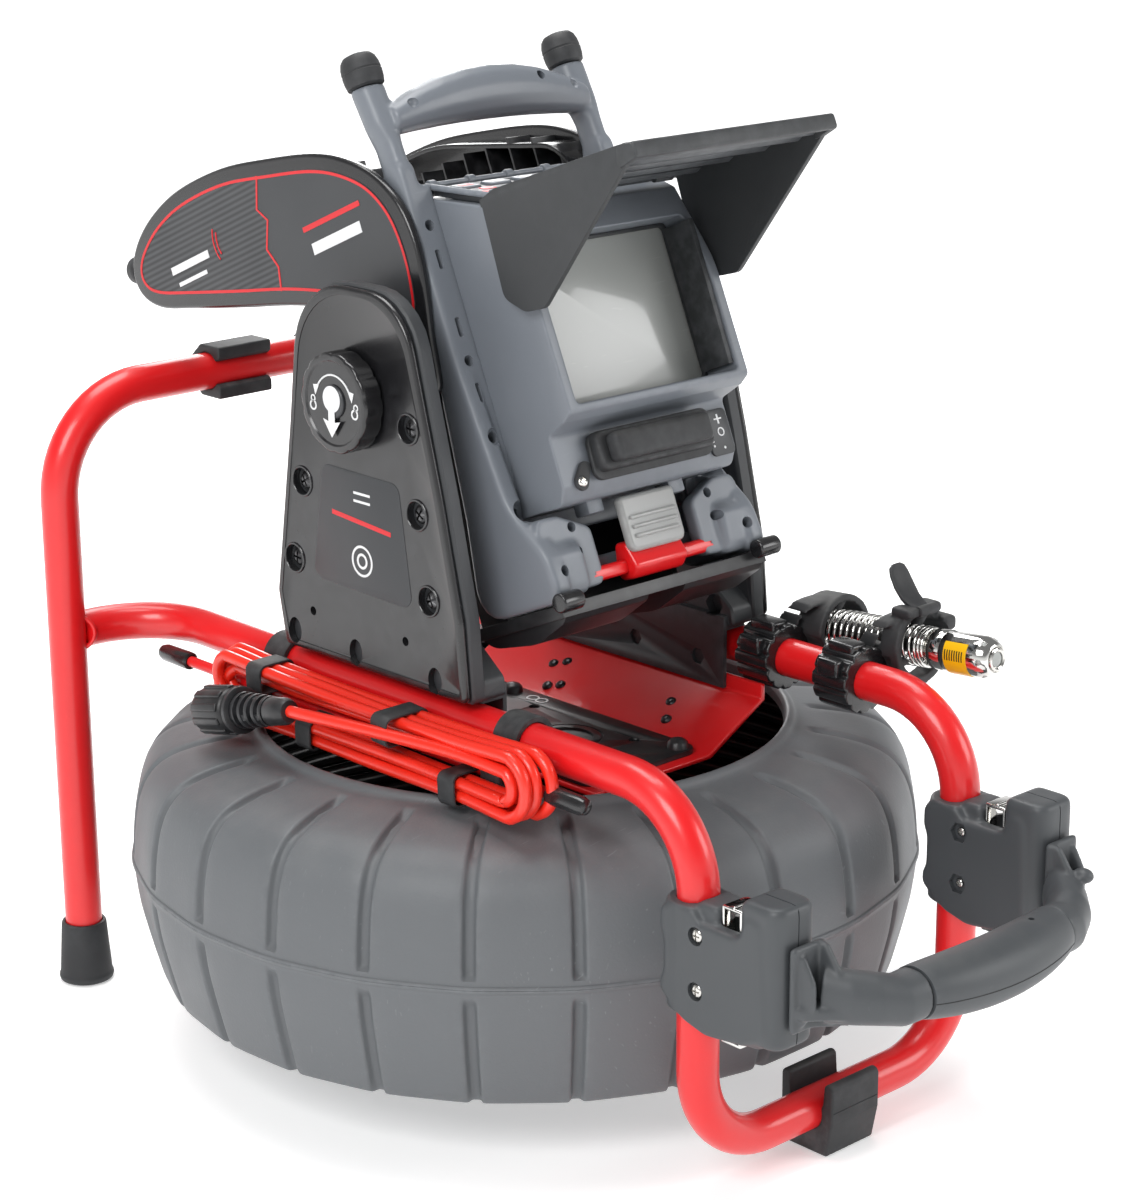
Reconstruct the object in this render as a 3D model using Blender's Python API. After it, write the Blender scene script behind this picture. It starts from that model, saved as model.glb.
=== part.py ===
"""Drain inspection machine: a caged cable drum, a docked monitor and a camera head on a front handle frame.

Every length below is in millimetres and MM turns it into metres.  The drum turns about the Z axis through the
machine's origin empty; the handle is at -Y and the hank of cable is on the -X side.
"""
import math

import bmesh
import bpy
from mathutils import Matrix, Vector

MM = 0.001
GAP = 0.3                      # clearance kept between pieces that touch
RIGHT, LEFT = 1, -1
SIDES = (("left", LEFT), ("right", RIGHT))

DRUM_AXIS_Y = 53.3             # from the middle of the footprint back to the drum's axis

# red tube frame
TUBE_R = 11.1                  # 7/8 in tube
RAIL_X = 102.7
RAIL_Z = 221.8
FRONT_Y = -242.7
BAR_Z = 23.9
LOOP_BEND = 51.0
LEG_X = 168.4
LEG_Y = 218.3
HOOP_Z = 363.7
HOOP_BEND = 60.0
FOOT_H = 38.0

# drum
DRUM_R = 230.2                 # at the moulding seam
SEAM_Z = 111.4
MOUTH_R = 150.7
DRUM_TOP = 189.0
DRUM_BOTTOM = 38.5
DRUM_SEGMENTS = 50
SPINDLE_R = 18.0
HUB_R = 24.3

# dock
BRACKET_FLOOR = 175.0
BRACKET_X = 87.5
BRACKET_Y = 107.0
SHELL_X = (88.0, 113.2)
SHELL_RIM_X = 104.0            # the shell's front edge is set back from here inwards
COVER_X = (113.5, 118.0)
PLATE_BASE = 236.0
PIVOT_Y, PIVOT_Z = 5.0, 390.0
BOLT_R = 5.0
KNOB_R = 28.0

# monitor, in its own frame: x across, y back from the screen, z up the screen
LEAN = math.radians(23.0)
PIVOT_BACK, PIVOT_UP = 92.3, 38.5
HOUSING_X = 67.8
MEMBER_X = (68.3, 80.0)
WING_X = (80.3, 86.0)
WING_INNER_X = 62.0
VISOR_HINGE = (-16.0, 112.0)
KEYPAD_SLOPE = math.radians(22.0)
KEY_TRAVEL = 1.0

# front handle
CLAMP_X = (85.0, 120.0)
CLAMP_Y = (-312.0, -229.0)
CLAMP_Z = (104.0, 172.0)
CLAMP_FRONT_TOP = 186.0
GRIP_Y, GRIP_Z = -345.0, 136.5
GRIP_HALF = 55.0

# camera holder
CAMERA_X = 137.0
CAMERA_Y = -170.0
CAMERA_Z = 236.2
CAMERA_TILT = math.radians(4.35)
CAMERA_R = 12.2
SPRING_R = 11.6

# cable
CORD_R = 3.5
HANK_X = (-140.5, -125.5)
HANK_Y = (-161.0, 125.0)
HANK_Z = (192.0, 228.0)
ROD_X, ROD_Z = -121.0, 206.5
ROD_Y = (-176.0, 184.0)
TAIL_ROUTE = (
    (-30, 62.3, 186), (-30, 78, 186), (-31, 96, 187.5), (-38, 113, 191), (-53, 126, 194.5), (-74, 134, 197),
    (-96, 140, 197), (-113, 148, 196.5), (-125, 153, 198), (-132.5, 148, 203), (-133.5, 137.5, 208),
    (-133.5, 125.6, 210),
)
LEAD_ROUTE = (
    (-158, 17, 219), (-158, 4, 220.5), (-157.5, -12, 219), (-155.5, -26, 215), (-150, -35.5, 212),
    (-141.3, -38, 211),
)
NUT_ROUTE = ((-158, 94, 201.5), (-158, 60.3, 209.3))
BOOT_ROUTE = ((-158, 60, 209.4), (-158, 17.5, 218.9))

RED = ((0.72, 0.012, 0.018), 0.3, 0.0)
CABLE_RED = ((0.78, 0.05, 0.02), 0.45, 0.0)
GREY = ((0.13, 0.135, 0.145), 0.6, 0.0)
MONITOR_GREY = ((0.16, 0.175, 0.2), 0.45, 0.0)
CHARCOAL = ((0.045, 0.048, 0.052), 0.6, 0.0)
BLACK = ((0.012, 0.012, 0.013), 0.4, 0.0)
STEEL = ((0.6, 0.6, 0.6), 0.25, 1.0)
GLASS = ((0.35, 0.36, 0.36), 0.12, 0.0)


# ---------------------------------------------------------------- helpers

def clear_scene():
    for item in list(bpy.data.objects):
        bpy.data.objects.remove(item)


def material(name, look):
    colour, roughness, metallic = look
    made = bpy.data.materials.new(name)
    made.use_nodes = True
    shader = made.node_tree.nodes["Principled BSDF"]
    shader.inputs["Base Color"].default_value = (*colour, 1.0)
    shader.inputs["Roughness"].default_value = roughness
    shader.inputs["Metallic"].default_value = metallic
    return made


def empty(name, place, parent=None, turn=(0.0, 0.0, 0.0)):
    made = bpy.data.objects.new(name, None)
    made.location = Vector(place) * MM
    made.rotation_euler = turn
    made.parent = parent
    bpy.context.collection.objects.link(made)
    return made


def finish(name, mesh, look, parent, origin=(0, 0, 0)):
    """Links one closed solid as a node; its mesh is in its parent's frame and its origin goes to origin."""
    work = bmesh.new()
    work.from_mesh(mesh)
    bmesh.ops.translate(work, vec=-Vector(origin), verts=work.verts)
    bmesh.ops.scale(work, vec=(MM, MM, MM), verts=work.verts)
    bmesh.ops.recalc_face_normals(work, faces=work.faces)
    work.to_mesh(mesh)
    work.free()
    mesh.name = name
    mesh.shade_smooth()
    mesh.set_sharp_from_angle(angle=math.radians(35))
    made = bpy.data.objects.new(name, mesh)
    made.location = Vector(origin) * MM
    made.parent = parent
    bpy.context.collection.objects.link(made)
    if look:
        mesh.materials.clear()
        mesh.materials.append(material(name, look))
    return made


def guide(mesh, parent, origin=(0, 0, 0)):
    made = finish("shaper", mesh, None, parent, origin)
    made.hide_render = True
    made.display_type = "WIRE"
    return made


def shape(target, operation, meshes):
    """Adds (UNION) or cuts (DIFFERENCE) each mesh, which is in the frame of the target's parent."""
    for mesh in meshes:
        change = target.modifiers.new(operation.lower(), "BOOLEAN")
        change.operation = operation
        change.object = guide(mesh, target.parent)
    return target


def rounded(corners, steps=4):
    """Points of a closed outline through (a, b, radius) corners, each corner turned into an arc."""
    points = []
    count = len(corners)
    for index, (a, b, radius) in enumerate(corners):
        here = Vector((a, b))
        before = (Vector(corners[index - 1][:2]) - here)
        after = (Vector(corners[(index + 1) % count][:2]) - here)
        if radius <= 0:
            points.append(tuple(here))
            continue
        points.extend(arc_points(here, before, after, radius, steps))
    return points


def arc_points(corner, before, after, radius, steps):
    half = before.angle(after) / 2
    reach = min(radius / math.tan(half), before.length * 0.49, after.length * 0.49)
    start = corner + before.normalized() * reach
    stop = corner + after.normalized() * reach
    bisector = (before.normalized() + after.normalized()).normalized()
    centre = corner + bisector * (reach / math.cos(half))
    bend = (start - centre).length
    first, last = (start - centre).normalized(), (stop - centre).normalized()
    return [tuple(centre + first.slerp(last, step / steps) * bend) for step in range(steps + 1)]


def prism(outline, low, high, axis="X"):
    """Solid of an outline extruded along X (outline in y, z), Y (in x, z) or Z (in x, y)."""
    place = {"X": lambda p, s: (s, p[0], p[1]), "Y": lambda p, s: (p[0], s, p[1]),
             "Z": lambda p, s: (p[0], p[1], s)}[axis]
    work = bmesh.new()
    base = work.faces.new([work.verts.new(place(point, low)) for point in outline])
    grown = bmesh.ops.extrude_face_region(work, geom=[base])["geom"]
    moved = [item for item in grown if isinstance(item, bmesh.types.BMVert)]
    bmesh.ops.translate(work, vec=place((0, 0), high - low), verts=moved)
    return to_mesh(work)


def box(low, high, round_by=0.0, segments=1):
    work = bmesh.new()
    bmesh.ops.create_cube(work, size=1.0)
    size = [high[i] - low[i] for i in range(3)]
    middle = [(high[i] + low[i]) / 2 for i in range(3)]
    bmesh.ops.scale(work, vec=size, verts=work.verts)
    bmesh.ops.translate(work, vec=middle, verts=work.verts)
    if round_by:
        bevel(work, work.edges, round_by, segments)
    return to_mesh(work)


def bevel(work, edges, width, segments=1):
    bmesh.ops.bevel(work, geom=list(edges), offset=width, segments=segments, affect="EDGES", profile=0.5,
                    material=-1, clamp_overlap=True)


def softened(mesh, width, segments=1, angle=50):
    """The mesh with its edges sharper than angle bevelled."""
    work = bmesh.new()
    work.from_mesh(mesh)
    bmesh.ops.recalc_face_normals(work, faces=work.faces)
    sharp = [edge for edge in work.edges if edge.calc_face_angle(0) > math.radians(angle)]
    bevel(work, sharp, width, segments)
    return to_mesh(work)


def to_mesh(work):
    bmesh.ops.recalc_face_normals(work, faces=work.faces)
    mesh = bpy.data.meshes.new("shape")
    work.to_mesh(mesh)
    work.free()
    return mesh


def turned(profile, segments=32, frame=Matrix.Identity(4)):
    """Solid of a closed (radius, height) profile turned about Z, then moved by frame."""
    work = bmesh.new()
    points = [work.verts.new((radius, 0, height)) for radius, height in profile]
    edges = [work.edges.new((points[i - 1], points[i])) for i in range(len(points))]
    bmesh.ops.spin(work, geom=points + edges, cent=(0, 0, 0), axis=(0, 0, 1), angle=math.tau, steps=segments,
                   use_merge=True)
    bmesh.ops.remove_doubles(work, verts=work.verts, dist=0.001)
    loose = [edge for edge in work.edges if not edge.link_faces]
    bmesh.ops.delete(work, geom=loose, context="EDGES")
    bmesh.ops.transform(work, matrix=frame, verts=work.verts)
    return to_mesh(work)


def along(start, stop):
    """Frame whose Z runs from start to stop, with its origin at start."""
    direction = Vector(stop) - Vector(start)
    return Matrix.Translation(start) @ direction.to_track_quat("Z", "Y").to_matrix().to_4x4()


def rod(start, stop, radius, end_radius=None, segments=20):
    length = (Vector(stop) - Vector(start)).length
    work = bmesh.new()
    bmesh.ops.create_cone(work, cap_ends=True, segments=segments, radius1=radius,
                          radius2=radius if end_radius is None else end_radius, depth=length)
    bmesh.ops.translate(work, vec=(0, 0, length / 2), verts=work.verts)
    bmesh.ops.transform(work, matrix=along(start, stop), verts=work.verts)
    return to_mesh(work)


def loft(sections):
    """Solid through rings of points, each given as a list of the same length."""
    work = bmesh.new()
    rings = [[work.verts.new(point) for point in section] for section in sections]
    for lower, upper in zip(rings, rings[1:]):
        for i in range(len(lower)):
            work.faces.new((lower[i - 1], lower[i], upper[i], upper[i - 1]))
    work.faces.new(rings[0])
    work.faces.new(rings[-1])
    return to_mesh(work)


def oval(centre, across, up, power=2.0, count=16):
    """Ring of points: a superellipse with half axes across and up about centre."""
    points = []
    for i in range(count):
        angle = math.tau * i / count
        a, b = math.cos(angle), math.sin(angle)
        a = math.copysign(abs(a) ** (2 / power), a)
        b = math.copysign(abs(b) ** (2 / power), b)
        points.append(Vector(centre) + Vector(across) * a + Vector(up) * b)
    return points


def bent_path(corners, radius, steps=7):
    """Open route through corners with every inner corner bent to the same radius."""
    route = [Vector(corners[0])]
    for index in range(1, len(corners) - 1):
        corner = Vector(corners[index])
        before = Vector(corners[index - 1]) - corner
        after = Vector(corners[index + 1]) - corner
        route.extend(Vector(point) for point in arc_points(corner, before, after, radius, steps))
    route.append(Vector(corners[-1]))
    return route


def smooth_route(points, per_span=3):
    """Catmull-Rom curve through the points."""
    knots = [Vector(point) for point in points]
    knots = [knots[0] * 2 - knots[1]] + knots + [knots[-1] * 2 - knots[-2]]
    route = []
    for a, b, c, d in zip(knots, knots[1:], knots[2:], knots[3:]):
        for step in range(per_span):
            t = step / per_span
            route.append(0.5 * (2 * b + (c - a) * t + (2 * a - 5 * b + 4 * c - d) * t ** 2
                                + (3 * b - a - 3 * c + d) * t ** 3))
    return route + [knots[-2]]


def tube(name, route, radius, look, parent, resolution=2):
    curve = bpy.data.curves.new(name, "CURVE")
    curve.dimensions = "3D"
    curve.bevel_depth = radius * MM
    curve.bevel_resolution = resolution
    curve.use_fill_caps = True
    spline = curve.splines.new("POLY")
    spline.points.add(len(route) - 1)
    for knot, point in zip(spline.points, route):
        knot.co = (*(Vector(point) * MM), 1.0)
    curve.materials.append(material(name, look))
    made = bpy.data.objects.new(name, curve)
    made.parent = parent
    bpy.context.collection.objects.link(made)
    return made


def mirrored(outline, side):
    return [(side * a, b) for a, b in outline]


def span(side, limits):
    """Low and high X of a piece whose distance from the middle plane is limits."""
    return tuple(sorted((side * limits[0], side * limits[1])))


# ---------------------------------------------------------------- tube frame

def frame_tubes(root):
    rear_end = LEG_X - TUBE_R - GAP
    corners = [(-rear_end, LEG_Y, RAIL_Z), (-RAIL_X, LEG_Y, RAIL_Z), (-RAIL_X, FRONT_Y, RAIL_Z),
               (-RAIL_X, FRONT_Y, BAR_Z), (RAIL_X, FRONT_Y, BAR_Z), (RAIL_X, FRONT_Y, RAIL_Z),
               (RAIL_X, LEG_Y, RAIL_Z), (rear_end, LEG_Y, RAIL_Z)]
    tube("front_loop", bent_path(corners, LOOP_BEND), TUBE_R, RED, root, 4)
    foot = FOOT_H - 30 + GAP
    corners = [(-LEG_X, LEG_Y, foot), (-LEG_X, LEG_Y, HOOP_Z), (LEG_X, LEG_Y, HOOP_Z), (LEG_X, LEG_Y, foot)]
    tube("rear_hoop", bent_path(corners, HOOP_BEND), TUBE_R, RED, root, 4)


def feet_and_clips(root):
    bore = TUBE_R + GAP
    profile = [(0, 0), (15.3, 0), (16.5, 1.5), (13.8, FOOT_H - 1), (13, FOOT_H), (bore, FOOT_H),
               (bore, FOOT_H - 30), (0, FOOT_H - 30)]
    for name, side in SIDES:
        place = Matrix.Translation((side * LEG_X, LEG_Y, 0))
        finish("foot_" + name, turned(profile, 28, place), BLACK, root)
        outline = clip_outline(LEG_Y, HOOP_Z, 19, 15)
        finish("rear_bar_clip_" + name, prism(outline, *span(side, (19, 59))), BLACK, root)
    opening_up = [(FRONT_Y + b, BAR_Z - a) for a, b in clip_outline(0, 0, 20, BAR_Z)]
    finish("front_bar_clip", prism(opening_up, -19, 19), BLACK, root)


def clip_outline(y, z, reach, back):
    """C-shaped clip on a tube, open towards -y: two lips of the given reach and a back pad."""
    bore = TUBE_R + GAP
    lip = bore + 4.5
    opening = [math.radians(angle) for angle in range(145, -146, -29)]
    inner = [(y + bore * math.cos(a), z + bore * math.sin(a)) for a in opening]
    outer = [(y - 13, z - lip), (y + 6, z - lip), (y + back, z - 8), (y + back, z + 8), (y + 6, z + lip),
             (y - 13, z + lip), (y - reach + 6, z + 9), (y - 10.5, z + 7.2)]
    return inner + [(y - 10.5, z - 7.2), (y - reach + 6, z - 9)] + outer[:-1]


# ---------------------------------------------------------------- drum

def drum_bodies(drum):
    upper = [(DRUM_R, SEAM_Z + GAP), (229.4, 135), (226.6, 152), (219, 167), (206, 176.5), (184, 182),
             (161, 184.4), (157.5, 188.2), (154, DRUM_TOP), (151.2, 187), (MOUTH_R, 180), (184, 178),
             (203.5, 172.6), (215.5, 164), (222.6, 151), (225.4, 135), (226.2, SEAM_Z + GAP)]
    finish("drum_upper", turned(upper, DRUM_SEGMENTS), GREY, drum)
    lower = [(DRUM_R, SEAM_Z), (228.3, 92), (222.5, 66), (217.5, 45), (213, DRUM_BOTTOM), (206, DRUM_BOTTOM),
             (201, 44), (40, 44), (40, 48), (203.5, 48), (213.5, 50), (218.4, 67), (224.2, 92), (226.2, SEAM_Z)]
    finish("drum_lower", turned(lower, DRUM_SEGMENTS), GREY, drum)
    hub = [(HUB_R, 44), (39.7, 44), (39.7, 48.3), (60, 48.3), (60, 52), (34, 58), (30, 64), (30, 150),
           (HUB_R, 150)]
    finish("drum_hub", turned(hub, 32), BLACK, drum)
    coil = [(189, 49), (206, 49), (211.2, 52.5), (216.6, 68), (222.4, 92), (224.4, 112), (223.4, 134), (219.5, 148),
            (203, 148), (206.5, 134), (207.3, 112), (205.3, 92), (199.6, 68), (194, 54)]
    finish("push_cable_coil", turned(coil, DRUM_SEGMENTS), BLACK, drum)


def spindle_parts(root):
    stem = [(0, 36), (30, 36), (30, 43.6), (SPINDLE_R, 43.6), (SPINDLE_R, 163), (40, 163), (40, 171.7),
            (0, 171.7)]
    finish("spindle", turned(stem, 32), STEEL, root)
    bearing = [(SPINDLE_R + GAP, 66), (HUB_R - GAP, 66), (HUB_R - GAP, 140), (SPINDLE_R + GAP, 140)]
    finish("spindle_bearing", turned(bearing, 32), STEEL, root)


# ---------------------------------------------------------------- dock

def bracket(root):
    thick = 3.0
    outer = [(46, BRACKET_FLOOR - thick), (BRACKET_X + thick, 197), (BRACKET_X + thick, 207),
             (BRACKET_X, 207), (BRACKET_X, 198.5), (44.6, BRACKET_FLOOR)]
    outline = outer + [(-a, b) for a, b in reversed(outer)]
    finish("dock_bracket", prism(outline, -BRACKET_Y, BRACKET_Y, "Y"), RED, root)
    top = BRACKET_FLOOR + 3.5
    plate = rounded([(-43, -100, 8), (43, -100, 8), (43, 58, 8), (-43, 58, 8)])
    hub = finish("hub_plate", prism(plate, BRACKET_FLOOR + GAP, top, "Z"), BLACK, root)
    domes = [turned([(0, top - 1), (6.5, top - 1), (6, top + 3), (4, top + 5), (0, top + 6)], 12,
                    Matrix.Translation((x, y, 0))) for x in (-34, 34) for y in (-92, 48)]
    gland = [box((-39, 20, top - 1), (-21, 50, 195), 2), rod((-30, 48, 186), (-30, 62, 186), 7, 5.5, 16)]
    shape(hub, "UNION", domes + gland)
    shape(hub, "DIFFERENCE", [rod((0, -34, top - 1.5), (0, -34, 200), 17, None, 24)])


def plate_outline(inset=0.0):
    return rounded([(-85 + inset, PLATE_BASE + inset, 4), (-81 + inset, 282, 40), (-66 + inset, 347, 80),
                    (-38 + inset, 452 - inset, 38), (52 - inset, 452 - inset, 44), (63 - inset, 369, 60),
                    (79 - inset, 268, 12), (73 - inset, PLATE_BASE + inset, 4)], 5)


def shell_core():
    """Outline of the shell's inner half: short of the front edge, with a leg that reaches it at the bottom."""
    return rounded([(-84, PLATE_BASE, 3), (-82, 247, 6), (-60, 264, 14), (-42, 350, 60), (-20, 436, 34),
                    (46, 436, 40), (58, 366, 50), (74, 266, 12), (71, PLATE_BASE, 4)], 5)


def dock_sides(root):
    flange_x = (84.5, 87.2)
    for name, side in SIDES:
        rim = softened(prism(plate_outline(), *span(side, (SHELL_RIM_X, SHELL_X[1]))), 1.2)
        shell = finish("dock_shell_" + name, rim, CHARCOAL, root)
        core = softened(prism(shell_core(), *span(side, (SHELL_X[0], SHELL_RIM_X + 3))), 1.2)
        low, high = span(side, (flange_x[0], SHELL_RIM_X - 2))
        step = box((low, -79, PLATE_BASE - 2.5), (high, 71, PLATE_BASE + 6))
        low, high = span(side, flange_x)
        flange = box((low, -79, 199), (high, 71, PLATE_BASE + 6))
        shape(shell, "UNION", [core, step, flange])
        cover = finish("dock_cover_" + name, softened(prism(plate_outline(1.5), *span(side, COVER_X)), 1.4, 2),
                       BLACK, root)
        bore_x = span(side, (60, 130))
        start, stop = [(x, PIVOT_Y, PIVOT_Z) for x in bore_x]
        shape(shell, "DIFFERENCE", [rod(start, stop, BOLT_R + 1, None, 20)])
        if side == LEFT:
            shape(cover, "DIFFERENCE", [rod(start, stop, BOLT_R + 1, None, 20)])


def knob(root):
    outline = []
    lobes = 14
    for i in range(lobes * 4):
        wave = math.cos(lobes * math.tau * i / (lobes * 4))
        angle = math.tau * i / (lobes * 4)
        radius = KNOB_R - 0.9 + 0.9 * wave
        outline.append((PIVOT_Y + radius * math.cos(angle), PIVOT_Z + radius * math.sin(angle)))
    origin = (-COVER_X[1], PIVOT_Y, PIVOT_Z)
    back = COVER_X[1] + 0.8
    made = finish("tilt_knob", softened(prism(outline, -back - 13, -back), 1.6, 1, 60), BLACK, root, origin)
    shaft = rod((-back - 2, PIVOT_Y, PIVOT_Z), (-88.2, PIVOT_Y, PIVOT_Z), BOLT_R, None, 20)
    shape(made, "UNION", [shaft])


# ---------------------------------------------------------------- front handle

def front_handle(root):
    corners = [(CLAMP_Y[1], CLAMP_Z[0] + 16, 7), (CLAMP_Y[1], CLAMP_Z[1] - 3, 8), (-258, CLAMP_Z[1], 6),
               (-266, CLAMP_Z[1] - 6, 4), (-282, CLAMP_Z[1] - 6, 3), (-286, CLAMP_FRONT_TOP, 8),
               (CLAMP_Y[0], CLAMP_FRONT_TOP, 16), (CLAMP_Y[0], CLAMP_Z[0] + 8, 12),
               (-290, CLAMP_Z[0] + 3, 6), (-262, CLAMP_Z[0], 10)]
    for name, side in SIDES:
        low, high = span(side, CLAMP_X)
        block = softened(prism(rounded(corners), low, high), 3.0, 2)
        clamp = finish("clamp_" + name, block, CHARCOAL, root)
        tube_x = side * RAIL_X
        bore = rod((tube_x, FRONT_Y, 50), (tube_x, FRONT_Y, 190), TUBE_R + GAP, None, 28)
        strap_low, strap_high = span(side, (93.5, 111.5))
        slot = box((strap_low - GAP, -281.3, 40), (strap_high + GAP, -266.7, 190))
        shape(clamp, "DIFFERENCE", [bore, slot])
        strap = box((strap_low, -281, CLAMP_Z[0] - 2), (strap_high, -267, CLAMP_Z[1] + 1), 1.2, 2)
        finish("clamp_strap_" + name, strap, STEEL, root)
        finish("handle_arm_" + name, arm(side), CHARCOAL, root)
    finish("handle_grip", grip(), CHARCOAL, root)


def arm(side):
    """One arm from its pad on the clamp to the round end that the grip starts at."""
    face = CLAMP_Y[0] - GAP
    stations = (
        ((96, face, 144), (10, 0, 0), (0, 0, 23), 6),
        ((96, face - 8, 143), (10, 0, 0), (0, 0, 23), 6),
        ((92, face - 13, 141), (9, -3, 0), (0, 0, 20), 3),
        ((82, face - 24, 138.5), (7, -9, 0), (0, 0, 15.5), 2.4),
        ((70, face - 31, 137), (3, -12.5, 0), (0, 0, 13.5), 2.2),
        ((GRIP_HALF + GAP, GRIP_Y, GRIP_Z), (0, -13.6, 0), (0, 0, 13.4), 2),
    )
    sections = []
    for (x, y, z), across, up, power in stations:
        across = (side * across[0], across[1], across[2])
        sections.append(oval((side * x, y, z), across, up, power))
    return loft(sections)


def grip():
    sections = []
    steps = 8
    for i in range(steps + 1):
        t = 2 * i / steps - 1
        bulge = 1 - t * t
        centre = (t * GRIP_HALF, GRIP_Y - 6 * bulge, GRIP_Z - 1.5 * bulge)
        radius = 13.8 + 3.4 * bulge
        sections.append(oval(centre, (0, radius * 1.05, 0), (0, 0, radius), 2, 18))
    return loft(sections)


# ---------------------------------------------------------------- monitor

def monitor_frame(monitor):
    member = rounded([(16, -98, 8), (88, -98, 16), (76, -40, 60), (66, 40, 60), (66, 150, 8), (47, 158, 6),
                      (46, 40, 60), (38, -42, 40), (18, -72, 30)], 4)
    body = finish("monitor_frame", softened(prism(member, -MEMBER_X[1], -MEMBER_X[0]), 2.0), MONITOR_GREY,
                  monitor)
    parts = [softened(prism(member, MEMBER_X[0], MEMBER_X[1]), 2.0), carry_handle()]
    tab = rounded([(38, -94, 6), (76, -94, 3), (76, -52, 6), (60, -52, 8), (38, -62, 6)])
    for _, side in SIDES:
        parts.append(prism(mirrored(tab, side), 24, 34, "Y"))
        parts.append(horn(side))
    back_rib = box((-76, 60.5, -60), (76, 66, -36))
    lower_rib = box((-76, 37, -90), (76, 44, -78))
    return shape(body, "UNION", parts + [back_rib, lower_rib])


def horn(side):
    """Upright stub over a side member that carries a rubber cap."""
    stations = ((140, 56.5, 5.7, 9.5), (164, 57.5, 5.8, 9.0), (176, 59, 8.6, 9.0), (199, 62, 9.3, 9.3))
    return loft([oval((side * 74, y, z), (across, 0, 0), (0, deep, 0), 2.2)
                 for z, y, across, deep in stations])


def carry_handle():
    sections = []
    steps = 8
    for i in range(steps + 1):
        t = 2 * i / steps - 1
        bulge = 1 - t * t
        centre = (t * 72, 57 - 2 * bulge, 178 + 10 * bulge)
        sections.append(oval(centre, (0, 11 + 5 * bulge, 0), (0, 0, 8 + 7 * bulge), 2.3, 14))
    return loft(sections)


def wings(monitor):
    outline = rounded([(62, 30, 5), (57, 62, 60), (42, 106, 60), (62, 168, 52), (190, 202, 140), (296, 192, 34),
                       (307, 146, 14), (262, 130, 40), (140, 102, 60), (78, 66, 12), (73, 30, 5)], 5)
    pocket = rounded([(71, 82, 5), (71, 158, 24), (188, 196, 120), (290, 187, 28), (301, 150, 12),
                      (262, 135, 30), (142, 107, 40), (84, 78, 8)], 4)
    for name, side in SIDES:
        body = finish("wing_" + name, prism(outline, *span(side, WING_X)), BLACK, monitor)
        rear = rounded([(67.5, 78, 5), (67.5, 160, 30), (190, 200, 140), (294, 190, 32),
                        (305, 147, 14), (262, 131.5, 38), (141, 104, 50), (80, 73, 8)], 5)
        shape(body, "UNION", [prism(rear, *span(side, (WING_INNER_X, WING_X[1] - 2)))])
        shape(body, "DIFFERENCE", [prism(pocket, *span(side, (WING_INNER_X - 4, WING_X[0] + 2)))])
        bumper = rod((side * 76, 306.8, 166), (side * 76, 316, 168), 9, 7, 16)
        finish("wing_bumper_" + name, softened(bumper, 1.5), BLACK, monitor)
        cap = turned([(0, 0), (9.6, 0), (10.6, 8), (9.6, 15), (6, 17), (0, 17)], 20,
                     along((side * 74, 62, 200.3), (side * 74, 63.4, 219)))
        finish("horn_cap_" + name, cap, BLACK, monitor)


def housing_parts(monitor):
    slope = math.tan(KEYPAD_SLOPE)
    front_top, back_top = 114.0, 114.0 + 54 * slope
    outline = rounded([(-17.7, -4, 3), (-16.5, 62, 60), (-3, front_top - 6, 3), (4, front_top, 2),
                       (60, back_top, 4), (60, -49, 6), (12, -49, 5), (6, -40, 4), (6, -12, 3), (-10, -8, 2)], 3)
    body = finish("screen_housing", prism(outline, -HOUSING_X, HOUSING_X), MONITOR_GREY, monitor)
    recess = prism(rounded([(-61, 0, 3), (61, 0, 3), (61, 91, 3), (-61, 91, 3)]), -40, 12, "Y")
    shape(body, "DIFFERENCE", [recess])
    window = prism(rounded([(-60.5, 0.5, 3), (60.5, 0.5, 3), (60.5, 90.5, 3), (-60.5, 90.5, 3)]), 9, 11.7, "Y")
    finish("screen_window", window, GLASS, monitor)
    pack = box((-40, 60.4, -32), (40, 95, 92), 3, 2)
    finish("battery_pack", pack, BLACK, monitor, (0, 78, 30))


def keypad_and_keys(monitor):
    """The keypad lies on the housing's sloped top; its own frame has y up the slope and z out of it."""
    deck = empty("keypad_datum", (0, 4, 114.0), monitor, (KEYPAD_SLOPE, 0, 0))
    face = rounded([(-58, 5, 4), (58, 5, 4), (58, 54, 4), (-58, 54, 4)])
    panel = finish("keypad", prism(face, GAP, 4.3, "Z"), CHARCOAL, deck)
    keys = {"key_power": (-44, 41), "key_menu": (-22, 41), "key_lamp": (0, 41), "key_record": (22, 41),
            "key_select": (0, 20)}
    for name, (x, y) in keys.items():
        half_x, half_y = (8, 5.5) if name != "key_select" else (22, 6.5)
        cap = [(x - half_x, y - half_y, 3), (x + half_x, y - half_y, 3), (x + half_x, y + half_y, 3),
               (x - half_x, y + half_y, 3)]
        well = [(x - half_x - GAP, y - half_y - GAP, 3), (x + half_x + GAP, y - half_y - GAP, 3),
                (x + half_x + GAP, y + half_y + GAP, 3), (x - half_x - GAP, y + half_y + GAP, 3)]
        shape(panel, "DIFFERENCE", [prism(rounded(well), -2, 8, "Z")])
        finish(name, prism(rounded(cap), 1.6, 5.6, "Z"), MONITOR_GREY, deck, (x, y, 1.6))


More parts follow.
